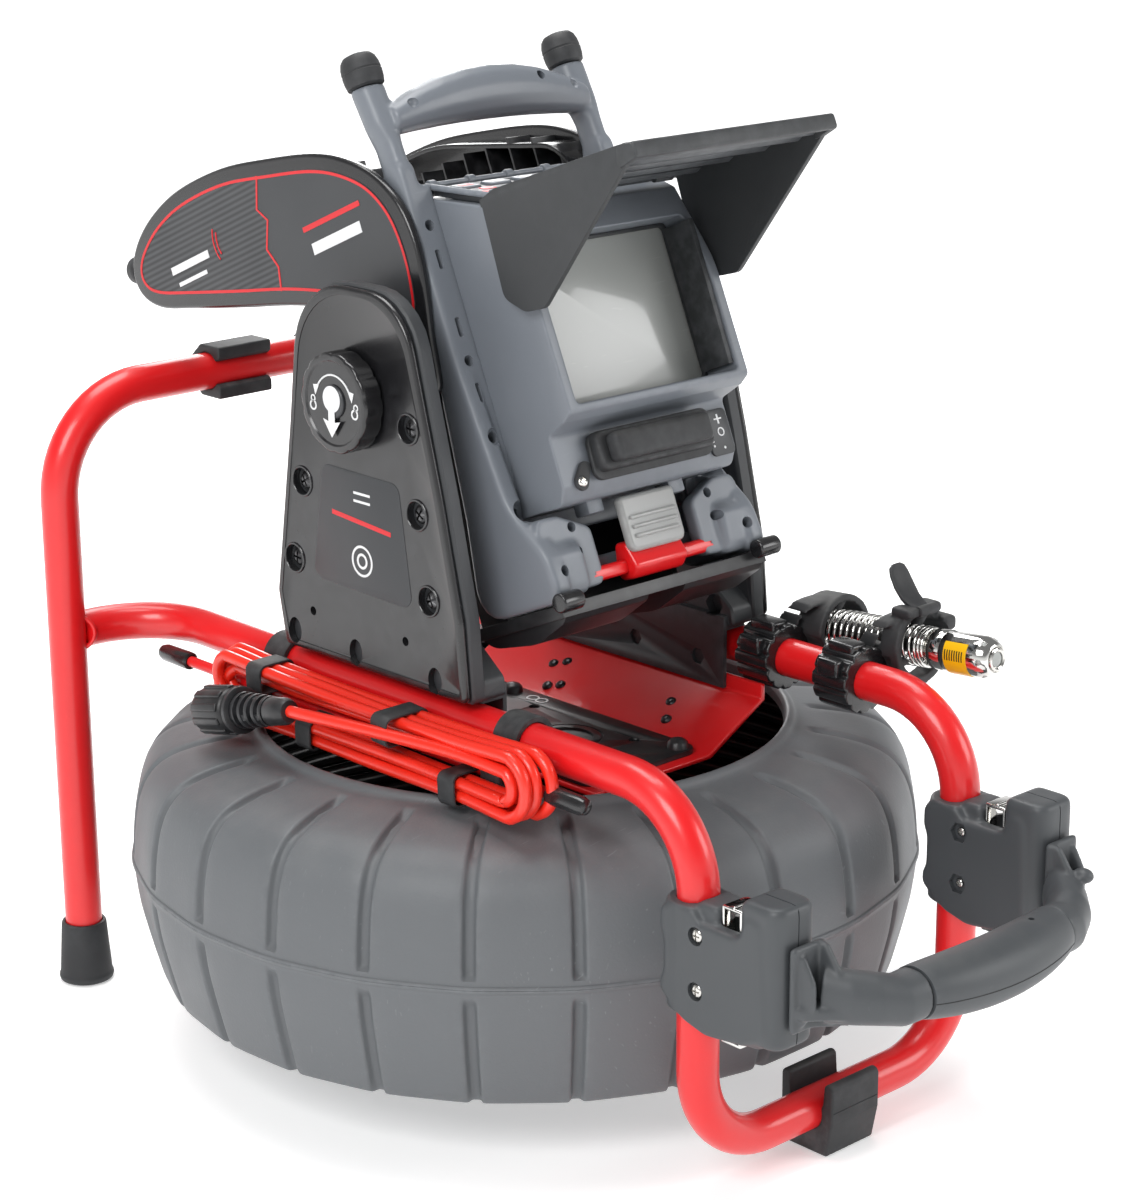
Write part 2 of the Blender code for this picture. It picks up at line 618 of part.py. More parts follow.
def sun_visor(monitor):
    """Lid-shaped visor: a stepped panel with a side flap at each end, hinged at the housing's top edge."""
    hinge_y, hinge_z = VISOR_HINGE
    panel = [(-1, 113), (-1, 117), (-14, 119.5), (-118, 112), (-122, 109.5), (-122, 104), (-118, 103),
             (-112, 106), (-90, 106), (-90, 108.5), (-62, 108.5), (-62, 111), (-34, 111), (-34, 113)]
    body = finish("sun_visor", prism(panel, -74, 74), CHARCOAL, monitor, (0, hinge_y, hinge_z))
    flap = rounded([(-2, 115, 2), (1, 64, 8), (-12, 53, 10), (-27, 51, 8), (-120, 105, 3), (-118, 110, 2)])
    flaps = [prism(flap, *span(side, (70.5, 74))) for _, side in SIDES]
    shape(body, "UNION", flaps)


def small_fittings(monitor, cradle):
    cover = rounded([(-43, -37, 5), (43, -37, 5), (43, -15, 5), (-43, -15, 5)])
    finish("port_cover", softened(prism(cover, -5, 6 - GAP, "Y"), 2.0), BLACK, monitor, (0, -2, -15))
    tongue = rounded([(-21, -82, 5), (21, -82, 5), (21, -51, 3), (-21, -51, 3)])
    finish("latch", softened(prism(tongue, 16, 22, "Y"), 1.5), MONITOR_GREY, monitor, (0, 20, -53))
    lever = rounded([(21, -90, 3), (25, -73, 2), (31, -73, 2), (34, -88, 3), (34, -93, 2)])
    finish("release_lever", prism(lever, -30, 30), RED, cradle, (0, 31, -88))


def dock_cradle(cradle):
    half = 66.0
    body = finish("dock_cradle", box((-half, 99, -106), (half, 103, 52)), CHARCOAL, cradle)
    parts = [box((-78, 20, -106), (78, 103, -99))]
    for _, side in SIDES:
        low, high = span(side, (62, half))
        parts.append(box((low, 80, -106), (high, 103, 52)))
        parts.append(rod((side * 62, PIVOT_BACK, PIVOT_UP), (side * 87.7, PIVOT_BACK, PIVOT_UP), 11, None, 20))
        low, high = span(side, (14, 76))
        pod = rounded([(18, -103, 2), (24, -109, 6), (50, -116, 30), (84, -112, 20), (98, -103, 2)])
        parts.append(prism(pod, low, high))
    pin = rod((86, PIVOT_BACK, PIVOT_UP), (103, PIVOT_BACK, PIVOT_UP), BOLT_R, None, 20)
    shape(body, "UNION", parts + [pin])


# ---------------------------------------------------------------- camera holder

def camera_holder(root):
    width, outer = 26.0, 18.5
    rail = (RAIL_X, RAIL_Z)
    body = finish("camera_holder", rod((rail[0], -114, rail[1]), (rail[0], -88, rail[1]), outer, None, 28),
                  BLACK, root)
    parts = [rod((rail[0], -174, rail[1]), (rail[0], -174 + width, rail[1]), outer, None, 28)]
    slope = math.tan(CAMERA_TILT)
    for y, wide in ((-117, 24), (-181, 16)):
        z = CAMERA_Z + (CAMERA_Y - y) * slope
        parts.append(rod((CAMERA_X, y - wide / 2, z), (CAMERA_X, y + wide / 2, z), 21.5, None, 28))
    parts.append(box((113, -183, 214), (121, -92, 240)))
    shape(body, "UNION", parts)
    rail_bore = rod((rail[0], -200, rail[1]), (rail[0], -60, rail[1]), TUBE_R + GAP, None, 28)
    ahead = Vector((0, -math.cos(CAMERA_TILT), math.sin(CAMERA_TILT)))
    centre = Vector((CAMERA_X, CAMERA_Y, CAMERA_Z))
    camera_bore = rod(centre - ahead * 90, centre + ahead * 50, 17.0, None, 28)
    shape(body, "DIFFERENCE", [rail_bore, camera_bore])
    tab = rounded([(-187, 259.2, 1), (-176, 259.2, 2), (-169, 264, 4), (-160, 279, 3), (-165, 281, 3),
                   (-174, 266, 4), (-187, 262.5, 1)])
    finish("holder_latch", prism(tab, 129, 145), BLACK, root, (CAMERA_X, -187, 259.2))


def camera_parts(root):
    """Camera head and its spring, built along Z from the middle of the holder."""
    turn = (math.pi / 2 - CAMERA_TILT, 0, 0)
    camera = empty("camera_axis", (CAMERA_X, CAMERA_Y, CAMERA_Z), root, turn)
    spring = [(0, -69), (8, -69), (SPRING_R, -66), (SPRING_R, 22), (9, 25), (0, 25)]
    finish("camera_spring", turned(spring, 24), STEEL, camera)
    head = [(0, 25.3), (11.4, 25.3), (CAMERA_R, 27), (CAMERA_R, 60), (10.5, 66), (7.5, 69), (0, 69)]
    finish("camera_head", turned(head, 28), STEEL, camera)


# ---------------------------------------------------------------- cable

def cable(root):
    radius = (HANK_Z[1] - HANK_Z[0]) / 2
    outline = rounded([(HANK_Y[0], HANK_Z[0], radius), (HANK_Y[1], HANK_Z[0], radius),
                       (HANK_Y[1], HANK_Z[1], radius), (HANK_Y[0], HANK_Z[1], radius)], 6)
    finish("cord_hank", prism(outline, *HANK_X), CABLE_RED, root)
    tube("cord_tail", smooth_route(TAIL_ROUTE), CORD_R, CABLE_RED, root)
    tube("cord_lead", smooth_route(LEAD_ROUTE), CORD_R, CABLE_RED, root)
    start, stop = NUT_ROUTE
    finish("connector_nut", rod(start, stop, 14.5, 13.5, 20), BLACK, root)
    start, stop = BOOT_ROUTE
    finish("connector_boot", rod(start, stop, 10.5, 6.5, 16), BLACK, root)
    tube("wrap_rod", [(ROD_X, y, ROD_Z) for y in ROD_Y], 3.2, RED, root, 3)
    for name, y in (("rear", 86), ("front", -112)):
        half = 9
        rail = rod((-RAIL_X, y - half, RAIL_Z), (-RAIL_X, y + half, RAIL_Z), 14.6, None, 24)
        body = finish("rod_clip_" + name, rail, BLACK, root)
        arm_box = box((-123.5, y - half, 200.5), (-108, y + half, 214), 1)
        shape(body, "UNION", [arm_box])
        rail_bore = rod((-RAIL_X, y - 20, RAIL_Z), (-RAIL_X, y + 20, RAIL_Z), TUBE_R + GAP, None, 24)
        rod_bore = rod((ROD_X, y - 20, ROD_Z), (ROD_X, y + 20, ROD_Z), 3.2 + GAP, None, 16)
        shape(body, "DIFFERENCE", [rail_bore, rod_bore])


def main():
    clear_scene()
    root = empty("machine", (0, DRUM_AXIS_Y, 0))
    frame_tubes(root)
    feet_and_clips(root)
    spindle_parts(root)
    drum_bodies(empty("drum_axis", (0, 0, 0), root))
    bracket(root)
    dock_sides(root)
    knob(root)
    front_handle(root)
    pivot = empty("tilt_axis", (0, PIVOT_Y, PIVOT_Z), root, (-LEAN, 0, 0))
    cradle = empty("cradle_datum", (0, -PIVOT_BACK, -PIVOT_UP), pivot)
    dock_cradle(cradle)
    monitor = empty("monitor_datum", (0, 0, 0), cradle)
    monitor_frame(monitor)
    wings(monitor)
    housing_parts(monitor)
    keypad_and_keys(monitor)
    sun_visor(monitor)
    small_fittings(monitor, cradle)
    camera_holder(root)
    camera_parts(root)
    cable(root)


main()
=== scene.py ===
# %% [markdown]
# # A drain inspection machine
# The machine is a cable drum in a red tube frame.  A monitor docks on top of it, a camera head waits in a holder on
# the right, and the monitor's own cable hangs in a hank on the left rail.  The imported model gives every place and
# every joint, so the work here is the looks: finer shapes and real finishes.

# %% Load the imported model
import math
import bmesh
import bpy
from mathutils import Matrix, Quaternion, Vector


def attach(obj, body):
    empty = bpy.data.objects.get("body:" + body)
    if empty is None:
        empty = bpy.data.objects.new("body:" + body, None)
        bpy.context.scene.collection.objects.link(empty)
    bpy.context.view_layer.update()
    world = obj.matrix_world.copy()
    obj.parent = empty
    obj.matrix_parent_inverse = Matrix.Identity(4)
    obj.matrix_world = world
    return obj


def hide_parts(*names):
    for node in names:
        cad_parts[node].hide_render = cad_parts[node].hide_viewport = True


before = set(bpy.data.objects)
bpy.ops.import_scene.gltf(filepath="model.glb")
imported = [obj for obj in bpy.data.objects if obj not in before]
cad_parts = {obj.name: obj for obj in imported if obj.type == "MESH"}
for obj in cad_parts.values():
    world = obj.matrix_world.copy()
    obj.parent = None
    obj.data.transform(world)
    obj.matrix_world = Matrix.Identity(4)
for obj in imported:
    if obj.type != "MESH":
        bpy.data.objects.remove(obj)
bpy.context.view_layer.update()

print("parts from the model:", len(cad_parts))

# %% [markdown]
# ## Working frames
# Pieces are drawn in millimetres where it is easiest: round the drum's axis for the machine, flat on the screen for
# the monitor, and along the spring for the camera head.  One matrix for each of them turns that into metres in the
# model's frame when a piece is finished, so that its object can stay at the origin.

# %% Frames, in millimetres
DRUM_AXIS_BACK = 53.3
LEAN = math.radians(23.0)
CAMERA_TILT = math.radians(4.35)
MACHINE = Matrix.Scale(0.001, 4) @ Matrix.Translation((0, DRUM_AXIS_BACK, 0))
CRADLE = (MACHINE @ Matrix.Translation((0, 5, 390)) @ Matrix.Rotation(-LEAN, 4, "X")
          @ Matrix.Translation((0, -92.3, -38.5)))
MONITOR = CRADLE
DECK = MONITOR @ Matrix.Translation((0, 4, 114)) @ Matrix.Rotation(math.radians(22), 4, "X")
HEAD = MACHINE @ Matrix.Translation((137, -170, 236.2)) @ Matrix.Rotation(math.pi / 2 - CAMERA_TILT, 4, "X")
SIDES = (("left", -1), ("right", 1))
print("screen centre in the model's frame:", [round(v, 3) for v in MONITOR @ Vector((0, 10, 45))])

# %% [markdown]
# ## The camera
# The view comes from the left front, a little above the machine, with a long lens.  The lens is given for a 36 mm
# sensor, and the camera leans by less than half a degree.

# %% Camera
VIEW_FROM = (-1.09598, -1.15618, 0.74442)
VIEW_TURN, VIEW_DIP, VIEW_ROLL = math.radians(42.943), math.radians(16.749), math.radians(-0.428)
ahead = Vector((math.sin(VIEW_TURN) * math.cos(VIEW_DIP), math.cos(VIEW_TURN) * math.cos(VIEW_DIP),
                -math.sin(VIEW_DIP)))
lens = bpy.data.cameras.new("view")
lens.sensor_width = 36.0
lens.lens = 88.62
view_camera = bpy.data.objects.new("view", lens)
view_camera.location = VIEW_FROM
view_camera.rotation_mode = "QUATERNION"
view_camera.rotation_quaternion = ahead.to_track_quat("-Z", "Y") @ Quaternion((0, 0, 1), VIEW_ROLL)
bpy.context.scene.collection.objects.link(view_camera)
bpy.context.scene.camera = view_camera
print("camera looks along", [round(v, 3) for v in ahead])

# %% [markdown]
# ## A small set of shaping tools
# Each tool returns a bmesh, which is Blender's mesh with its editing operators.  Simple shapes come from a create
# operator, turned ones from a spin, and sheets and blocks from one face that is extruded.

# %% Blocks, rods and turned shapes
def moved(work, matrix):
    bmesh.ops.transform(work, matrix=matrix, verts=work.verts)
    return work


def block(low, high):
    work = bmesh.new()
    size = Vector(high) - Vector(low)
    place = Matrix.Translation((Vector(high) + Vector(low)) / 2) @ Matrix.Diagonal((*size, 1))
    bmesh.ops.create_cube(work, size=1.0, matrix=place)
    return work


def between(start, stop):
    """Frame whose Z runs from start to stop, with its origin at start."""
    direction = Vector(stop) - Vector(start)
    return Matrix.Translation(start) @ direction.to_track_quat("Z", "Y").to_matrix().to_4x4()


def rod(start, stop, radius, end_radius=None, segments=32):
    work = bmesh.new()
    length = (Vector(stop) - Vector(start)).length
    bmesh.ops.create_cone(work, cap_ends=True, segments=segments, radius1=radius,
                          radius2=radius if end_radius is None else end_radius, depth=length)
    return moved(work, between(start, stop) @ Matrix.Translation((0, 0, length / 2)))


def ball(centre, radius, squash=(1, 1, 1), segments=20):
    work = bmesh.new()
    bmesh.ops.create_uvsphere(work, u_segments=segments, v_segments=segments // 2, radius=radius)
    return moved(work, Matrix.Translation(centre) @ Matrix.Diagonal((*squash, 1)))


def turned(profile, segments=48, place=Matrix.Identity(4), closed=True):
    """A (radius, height) profile spun once round Z; closed joins its last point to its first."""
    work = bmesh.new()
    points = [work.verts.new((radius, 0, height)) for radius, height in profile]
    pairs = list(zip(points, points[1:] + points[:1])) if closed else list(zip(points, points[1:]))
    edges = [work.edges.new(pair) for pair in pairs]
    bmesh.ops.spin(work, geom=points + edges, cent=(0, 0, 0), axis=(0, 0, 1), angle=math.tau, steps=segments,
                   use_merge=True)
    bmesh.ops.remove_doubles(work, verts=work.verts, dist=0.0005)
    loose = [edge for edge in work.edges if not edge.link_faces]
    bmesh.ops.delete(work, geom=loose, context="EDGES")
    return moved(work, place)


def ring(centre, inner, outer, width, axis=(0, 1, 0), segments=48, chamfer=0.6):
    step = Vector(axis).normalized() * width / 2
    c = chamfer
    profile = [(inner, c), (inner + c, 0), (outer - c, 0), (outer, c), (outer, width - c), (outer - c, width),
               (inner + c, width), (inner, width - c)]
    return turned(profile, segments, between(Vector(centre) - step, Vector(centre) + step))


print("shapes: block, rod, ball, turned, ring")

# %% Outlines with round corners, and prisms
def arc_points(corner, before, after, radius, steps):
    half = before.angle(after) / 2
    reach = min(radius / math.tan(half), before.length * 0.49, after.length * 0.49)
    start, stop = corner + before.normalized() * reach, corner + after.normalized() * reach
    centre = corner + (before.normalized() + after.normalized()).normalized() * (reach / math.cos(half))
    first, last = (start - centre).normalized(), (stop - centre).normalized()
    bend = (start - centre).length
    return [centre + first.slerp(last, step / steps) * bend for step in range(steps + 1)]


def rounded(corners, steps=6):
    """Closed outline through (a, b, radius) corners."""
    points = []
    for index, (a, b, radius) in enumerate(corners):
        here = Vector((a, b))
        before = Vector(corners[index - 1][:2]) - here
        after = Vector(corners[(index + 1) % len(corners)][:2]) - here
        points += arc_points(here, before, after, radius, steps) if radius > 0 else [here]
    return points


def prism(outline, low, high, axis="X"):
    """Outline extruded along X (outline in y, z), Y (in x, z) or Z (in x, y)."""
    order = {"X": (2, 0, 1), "Y": (0, 2, 1), "Z": (0, 1, 2)}[axis]
    work = bmesh.new()
    flat = [(point[0], point[1], low) for point in outline]
    face = work.faces.new([work.verts.new([point[i] for i in order]) for point in flat])
    grown = bmesh.ops.extrude_face_region(work, geom=[face])["geom"]
    lift = [0, 0, high - low]
    bmesh.ops.translate(work, vec=[lift[i] for i in order],
                        verts=[item for item in grown if isinstance(item, bmesh.types.BMVert)])
    bmesh.ops.recalc_face_normals(work, faces=work.faces)
    return work


def softened(work, width, segments=3, angle=35):
    """The same shape with every edge sharper than angle rounded."""
    bmesh.ops.recalc_face_normals(work, faces=work.faces)
    sharp = [edge for edge in work.edges if len(edge.link_faces) == 2
             and edge.calc_face_angle(0) > math.radians(angle)]
    bmesh.ops.bevel(work, geom=sharp, offset=width, segments=segments, affect="EDGES", profile=0.5, material=-1,
                    clamp_overlap=True)
    return work


def together(*works):
    """Several shapes in one bmesh, still as separate shells."""
    whole = bmesh.new()
    for work in works:
        mesh = bpy.data.meshes.new("shell")
        bmesh.ops.recalc_face_normals(work, faces=work.faces)
        work.to_mesh(mesh)
        work.free()
        whole.from_mesh(mesh)
        bpy.data.meshes.remove(mesh)
    return whole


def flipped(outline, side):
    return [(side * point[0], point[1]) for point in outline]


def span(side, near, far):
    return sorted((side * near, side * far))


print("outlines: rounded, prism, softened, together")

# %% [markdown]
# Two modifiers do what single operators can't.  A Boolean joins or cuts whole shapes, and a voxel Remesh followed by
# a little smoothing melts joined shapes into each other, which is how the fillets of a moulded part look.  Both are
# applied at once, so a finished piece is plain mesh.

# %% Joining, cutting and melting
def as_object(work):
    mesh = bpy.data.meshes.new("work")
    bmesh.ops.recalc_face_normals(work, faces=work.faces)
    work.to_mesh(mesh)
    work.free()
    made = bpy.data.objects.new("work", mesh)
    bpy.context.scene.collection.objects.link(made)
    return made


def applied(base, helpers=()):
    """Bmesh of the base object with its modifiers done; the objects are removed."""
    graph = bpy.context.evaluated_depsgraph_get()
    mesh = bpy.data.meshes.new_from_object(base.evaluated_get(graph))
    work = bmesh.new()
    work.from_mesh(mesh)
    for item in (base, *helpers):
        bpy.data.objects.remove(item)
    return work


def combined(work, others, operation):
    base = as_object(work)
    helpers = [as_object(other) for other in others]
    for helper in helpers:
        change = base.modifiers.new(operation, "BOOLEAN")
        change.operation = operation
        change.solver = "EXACT"
        change.object = helper
    return applied(base, helpers)


def cut(work, *others):
    return combined(work, others, "DIFFERENCE")


def melted(work, voxel, rounds, others=()):
    """Overlapping shells melted into one skin with soft fillets."""
    base = as_object(together(work, *others))
    change = base.modifiers.new("remesh", "REMESH")
    change.mode = "VOXEL"
    change.voxel_size = voxel
    work = applied(base)
    for _ in range(rounds):
        bmesh.ops.smooth_vert(work, verts=work.verts, factor=0.5, use_axis_x=True, use_axis_y=True,
                              use_axis_z=True)
    return work


print("joining: combined, cut, melted")

# %% [markdown]
# A route is drawn through a few corner points.  A tube follows it: a circle is extruded along the straights and spun
# round the bends, exactly as a tube bender does.  Soft cables follow a smooth curve instead.

# %% Tubes and cables
def bent_tube(corners, bend, radius, segments=40, steps=14):
    """Round tube through corners with each inner corner bent to the same radius."""
    knots = [Vector(corner) for corner in corners]
    work = bmesh.new()
    bmesh.ops.create_circle(work, cap_ends=True, segments=segments, radius=radius)
    moved(work, between(knots[0], knots[1]))
    face = work.faces[:][0]
    here = knots[0]
    for index in range(1, len(knots)):
        corner, ahead_of = knots[index], (knots[index] - knots[index - 1]).normalized()
        last = index == len(knots) - 1
        turn_axis, angle, reach = None, 0.0, 0.0
        if not last:
            onward = (knots[index + 1] - corner).normalized()
            angle = ahead_of.angle(onward)
            turn_axis = ahead_of.cross(onward).normalized()
            reach = bend * math.tan(angle / 2)
        goal = corner - ahead_of * reach
        grown = bmesh.ops.extrude_face_region(work, geom=[face])["geom"]
        ends = [item for item in grown if isinstance(item, bmesh.types.BMVert)]
        bmesh.ops.translate(work, vec=goal - here, verts=ends)
        old, face = face, [item for item in grown if isinstance(item, bmesh.types.BMFace)][0]
        if old.is_valid and index > 1:
            bmesh.ops.delete(work, geom=[old], context="FACES_ONLY")
        here = goal
        if not last:
            centre = goal + turn_axis.cross(ahead_of) * bend
            spun = bmesh.ops.spin(work, geom=[face], cent=centre, axis=turn_axis, angle=angle, steps=steps,
                                  use_merge=False)["geom_last"]
            old, face = face, [item for item in spun if isinstance(item, bmesh.types.BMFace)][0]
            if old.is_valid:
                bmesh.ops.delete(work, geom=[old], context="FACES_ONLY")
            here = corner + (knots[index + 1] - corner).normalized() * reach
    bmesh.ops.remove_doubles(work, verts=work.verts, dist=0.001)
    bmesh.ops.recalc_face_normals(work, faces=work.faces)
    return work

def swept(points, radius, segments=10):
    """Thin round wire along closely spaced points."""
    knots = [Vector(point) for point in points]
    work = bmesh.new()
    across = (knots[1] - knots[0]).orthogonal().normalized()
    rings = []
    for i, knot in enumerate(knots):
        ahead_of = (knots[min(i + 1, len(knots) - 1)] - knots[max(i - 1, 0)]).normalized()
        across = (across - ahead_of * across.dot(ahead_of)).normalized()
        up = ahead_of.cross(across)
        rings.append([work.verts.new(knot + (across * math.cos(math.tau * j / segments)
                                             + up * math.sin(math.tau * j / segments)) * radius)
                      for j in range(segments)])
    for near, far in zip(rings, rings[1:]):
        for j in range(segments):
            work.faces.new((near[j - 1], near[j], far[j], far[j - 1]))
    work.faces.new(rings[0])
    work.faces.new(rings[-1])
    bmesh.ops.recalc_face_normals(work, faces=work.faces)
    return work


def smooth_route(points, per_span=4):
    """Catmull-Rom curve through the points."""
    knots = [Vector(point) for point in points]
    knots = [knots[0] * 2 - knots[1]] + knots + [knots[-1] * 2 - knots[-2]]
    route = []
    for a, b, c, d in zip(knots, knots[1:], knots[2:], knots[3:]):
        for step in range(per_span):
            t = step / per_span
            route.append(0.5 * (2 * b + (c - a) * t + (2 * a - 5 * b + 4 * c - d) * t ** 2
                                + (3 * b - a - 3 * c + d) * t ** 3))
    return route + [knots[-2]]


def route_length(route):
    return sum((b - a).length for a, b in zip(route, route[1:]))


print("routes: bent_tube, smooth_route")
# %% [markdown]
# ## Effects that several finishes share
# Four small node groups are built once: the grain of a mould, wear on edges, settled dust and fine scratches.  On the
# drum's plastic the edge mask is also a painted sheen.  Each puts out only a height or a mask, and each finish uses
# them with its own strengths.

# %% Node groups
def srgb(r, g, b):
    """Linear colour of an 8-bit display colour."""
    return tuple(((c / 255 + 0.055) / 1.055) ** 2.4 if c > 10 else c / 255 / 12.92 for c in (r, g, b)) + (1.0,)


def new_group(name, inputs, outputs):
    group = bpy.data.node_groups.new(name, "ShaderNodeTree")
    for label, kind, value in inputs:
        socket = group.interface.new_socket(name=label, in_out="INPUT", socket_type=kind)
        if value is not None:
            socket.default_value = value
    for label in outputs:
        group.interface.new_socket(name=label, in_out="OUTPUT", socket_type="NodeSocketFloat")
    start, end = group.nodes.new("NodeGroupInput"), group.nodes.new("NodeGroupOutput")
    return group, start, end


def add(tree, kind, **settings):
    """A node with its properties, and its inputs by name or number, set; a socket as a value makes a link."""
    made = tree.nodes.new(kind)
    inputs = settings.pop("inputs", {})
    for key, value in settings.items():
        setattr(made, key, value)
    for key, value in inputs.items():
        if isinstance(value, bpy.types.NodeSocket):
            tree.links.new(value, made.inputs[key])
        else:
            made.inputs[key].default_value = value
    return made


FLOAT, VECTOR = "NodeSocketFloat", "NodeSocketVector"

grain_group, start, end = new_group("mould grain", [("Vector", VECTOR, None), ("Scale", FLOAT, 900.0)], ["Height"])
coarse = add(grain_group, "ShaderNodeTexNoise", inputs={"Vector": start.outputs["Vector"], "Scale":
             start.outputs["Scale"], "Detail": 2.0, "Roughness": 0.6})
cells = add(grain_group, "ShaderNodeTexVoronoi", feature="SMOOTH_F1",
            inputs={"Vector": start.outputs["Vector"], "Scale": start.outputs["Scale"], "Smoothness": 0.6})
blend = add(grain_group, "ShaderNodeMath", operation="MULTIPLY_ADD",
            inputs={0: cells.outputs["Distance"], 1: -0.5, 2: coarse.outputs["Fac"]})
grain_group.links.new(blend.outputs[0], end.inputs["Height"])

# Edge mask from pointiness: wear on every finish, and on the drum's plastic also a painted sheen along its edges.
wear_and_sheen_group, start, end = new_group("worn edges", [("Vector", VECTOR, None), ("Amount", FLOAT, 0.5)], ["Mask"])
shape_node = add(wear_and_sheen_group, "ShaderNodeNewGeometry")
edge = add(wear_and_sheen_group, "ShaderNodeMapRange", inputs={"Value": shape_node.outputs["Pointiness"], "From Min": 0.515,
           "From Max": 0.6})
patches = add(wear_and_sheen_group, "ShaderNodeTexNoise", inputs={"Vector": start.outputs["Vector"], "Scale": 130.0,
              "Detail": 3.0})
rubbed_and_sheen = add(wear_and_sheen_group, "ShaderNodeMapRange", inputs={"Value": patches.outputs["Fac"], "From Min": 0.38,
             "From Max": 0.66})
both = add(wear_and_sheen_group, "ShaderNodeMath", operation="MULTIPLY", inputs={0: edge.outputs[0], 1: rubbed_and_sheen.outputs[0]})
scaled = add(wear_and_sheen_group, "ShaderNodeMath", operation="MULTIPLY", use_clamp=True,
             inputs={0: both.outputs[0], 1: start.outputs["Amount"]})
wear_and_sheen_group.links.new(scaled.outputs[0], end.inputs["Mask"])

dust_group, start, end = new_group("settled dust", [("Vector", VECTOR, None), ("Amount", FLOAT, 0.2)], ["Mask"])
shape_node = add(dust_group, "ShaderNodeNewGeometry")
parts = add(dust_group, "ShaderNodeSeparateXYZ", inputs={0: shape_node.outputs["Normal"]})
facing_up = add(dust_group, "ShaderNodeMapRange", inputs={"Value": parts.outputs["Z"], "From Min": 0.35,
                "From Max": 1.0})
cloud = add(dust_group, "ShaderNodeTexNoise", inputs={"Vector": start.outputs["Vector"], "Scale": 42.0,
            "Detail": 6.0, "Roughness": 0.65})
drift = add(dust_group, "ShaderNodeMapRange", inputs={"Value": cloud.outputs["Fac"], "From Min": 0.4,
            "From Max": 0.75})
both = add(dust_group, "ShaderNodeMath", operation="MULTIPLY", inputs={0: facing_up.outputs[0], 1: drift.outputs[0]})
scaled = add(dust_group, "ShaderNodeMath", operation="MULTIPLY", use_clamp=True,
             inputs={0: both.outputs[0], 1: start.outputs["Amount"]})
dust_group.links.new(scaled.outputs[0], end.inputs["Mask"])

scratch_group, start, end = new_group("fine scratches", [("Vector", VECTOR, None), ("Amount", FLOAT, 0.5)],
                                      ["Mask"])
stretch = add(scratch_group, "ShaderNodeMapping", inputs={"Vector": start.outputs["Vector"],
              "Rotation": (0.4, 0.9, 0.6), "Scale": (60.0, 900.0, 240.0)})
lines = add(scratch_group, "ShaderNodeTexNoise", inputs={"Vector": stretch.outputs[0], "Scale": 1.0, "Detail": 1.0})
thin = add(scratch_group, "ShaderNodeMapRange", inputs={"Value": lines.outputs["Fac"], "From Min": 0.7,
           "From Max": 0.76})
places = add(scratch_group, "ShaderNodeTexNoise", inputs={"Vector": start.outputs["Vector"], "Scale": 14.0,
             "Detail": 1.0})
some = add(scratch_group, "ShaderNodeMapRange", inputs={"Value": places.outputs["Fac"], "From Min": 0.48,
           "From Max": 0.62})
both = add(scratch_group, "ShaderNodeMath", operation="MULTIPLY", inputs={0: thin.outputs[0], 1: some.outputs[0]})
scaled = add(scratch_group, "ShaderNodeMath", operation="MULTIPLY", use_clamp=True,
             inputs={0: both.outputs[0], 1: start.outputs["Amount"]})
scratch_group.links.new(scaled.outputs[0], end.inputs["Mask"])
print("groups:", [group.name for group in bpy.data.node_groups])

# %% [markdown]
# ## Finishes
# Most of the machine is moulded plastic, rubber or painted steel.  They differ in colour, gloss and grain, so one
# function wires the shared groups round a Principled shader and each finish states its own numbers.  Numbers that
# are the same all over the surface go straight on the shader.


def surface(name, slot, colour, roughness, grain=900.0, depth=0.00004, worn_and_sheen=None, wear_and_sheen=0.4, dust=0.12,
            scratches=0.3, mottle=0.12, **sockets):
    made = bpy.data.materials.new(name)
    made.use_nodes = True
    tree = made.node_tree
    shader = tree.nodes["Principled BSDF"]
    place = add(tree, "ShaderNodeTexCoord").outputs["Object"]
    cloud = add(tree, "ShaderNodeTexNoise", inputs={"Vector": place, "Scale": 24.0, "Detail": 4.0}).outputs["Fac"]
    base, dark = colour, tuple(c * (1 - mottle) for c in colour[:3]) + (1.0,)
    body = mixed(tree, cloud, dark, base)
    # Lighter edges: real wear, and for the drum's plastic also a painted sheen.
    rubbed_and_sheen = grouped(tree, wear_and_sheen_group, place, wear_and_sheen)
    body = mixed(tree, rubbed_and_sheen, body, worn_and_sheen or tuple(min(1, c * 1.6 + 0.01) for c in colour[:3]) + (1.0,))
    marks = grouped(tree, scratch_group, place, scratches)
    body = mixed(tree, marks, body, tuple(min(1, c * 1.4 + 0.03) for c in colour[:3]) + (1.0,))
    powder = grouped(tree, dust_group, place, dust)
    body = mixed(tree, powder, body, srgb(168, 164, 158))
    tree.links.new(body, shader.inputs["Base Color"])
    rough = add(tree, "ShaderNodeMapRange", inputs={"Value": cloud, "From Min": 0.3, "From Max": 0.7,
                "To Min": roughness * 0.88, "To Max": min(1.0, roughness * 1.12)}).outputs[0]
    for mask, gain in ((powder, 0.35), (marks, 0.2)):
        rough = add(tree, "ShaderNodeMath", operation="MULTIPLY_ADD", use_clamp=True,
                    inputs={0: mask, 1: gain, 2: rough}).outputs[0]
    tree.links.new(rough, shader.inputs["Roughness"])
    if depth:
        height = add(tree, "ShaderNodeGroup", node_tree=grain_group, inputs={"Vector": place, "Scale": grain})
        bump = add(tree, "ShaderNodeBump", inputs={"Height": height.outputs["Height"], "Distance": depth,
                   "Strength": 1.0})
        tree.links.new(bump.outputs["Normal"], shader.inputs["Normal"])
    for socket, value in sockets.items():
        shader.inputs[socket.replace("_", " ")].default_value = value
    return made


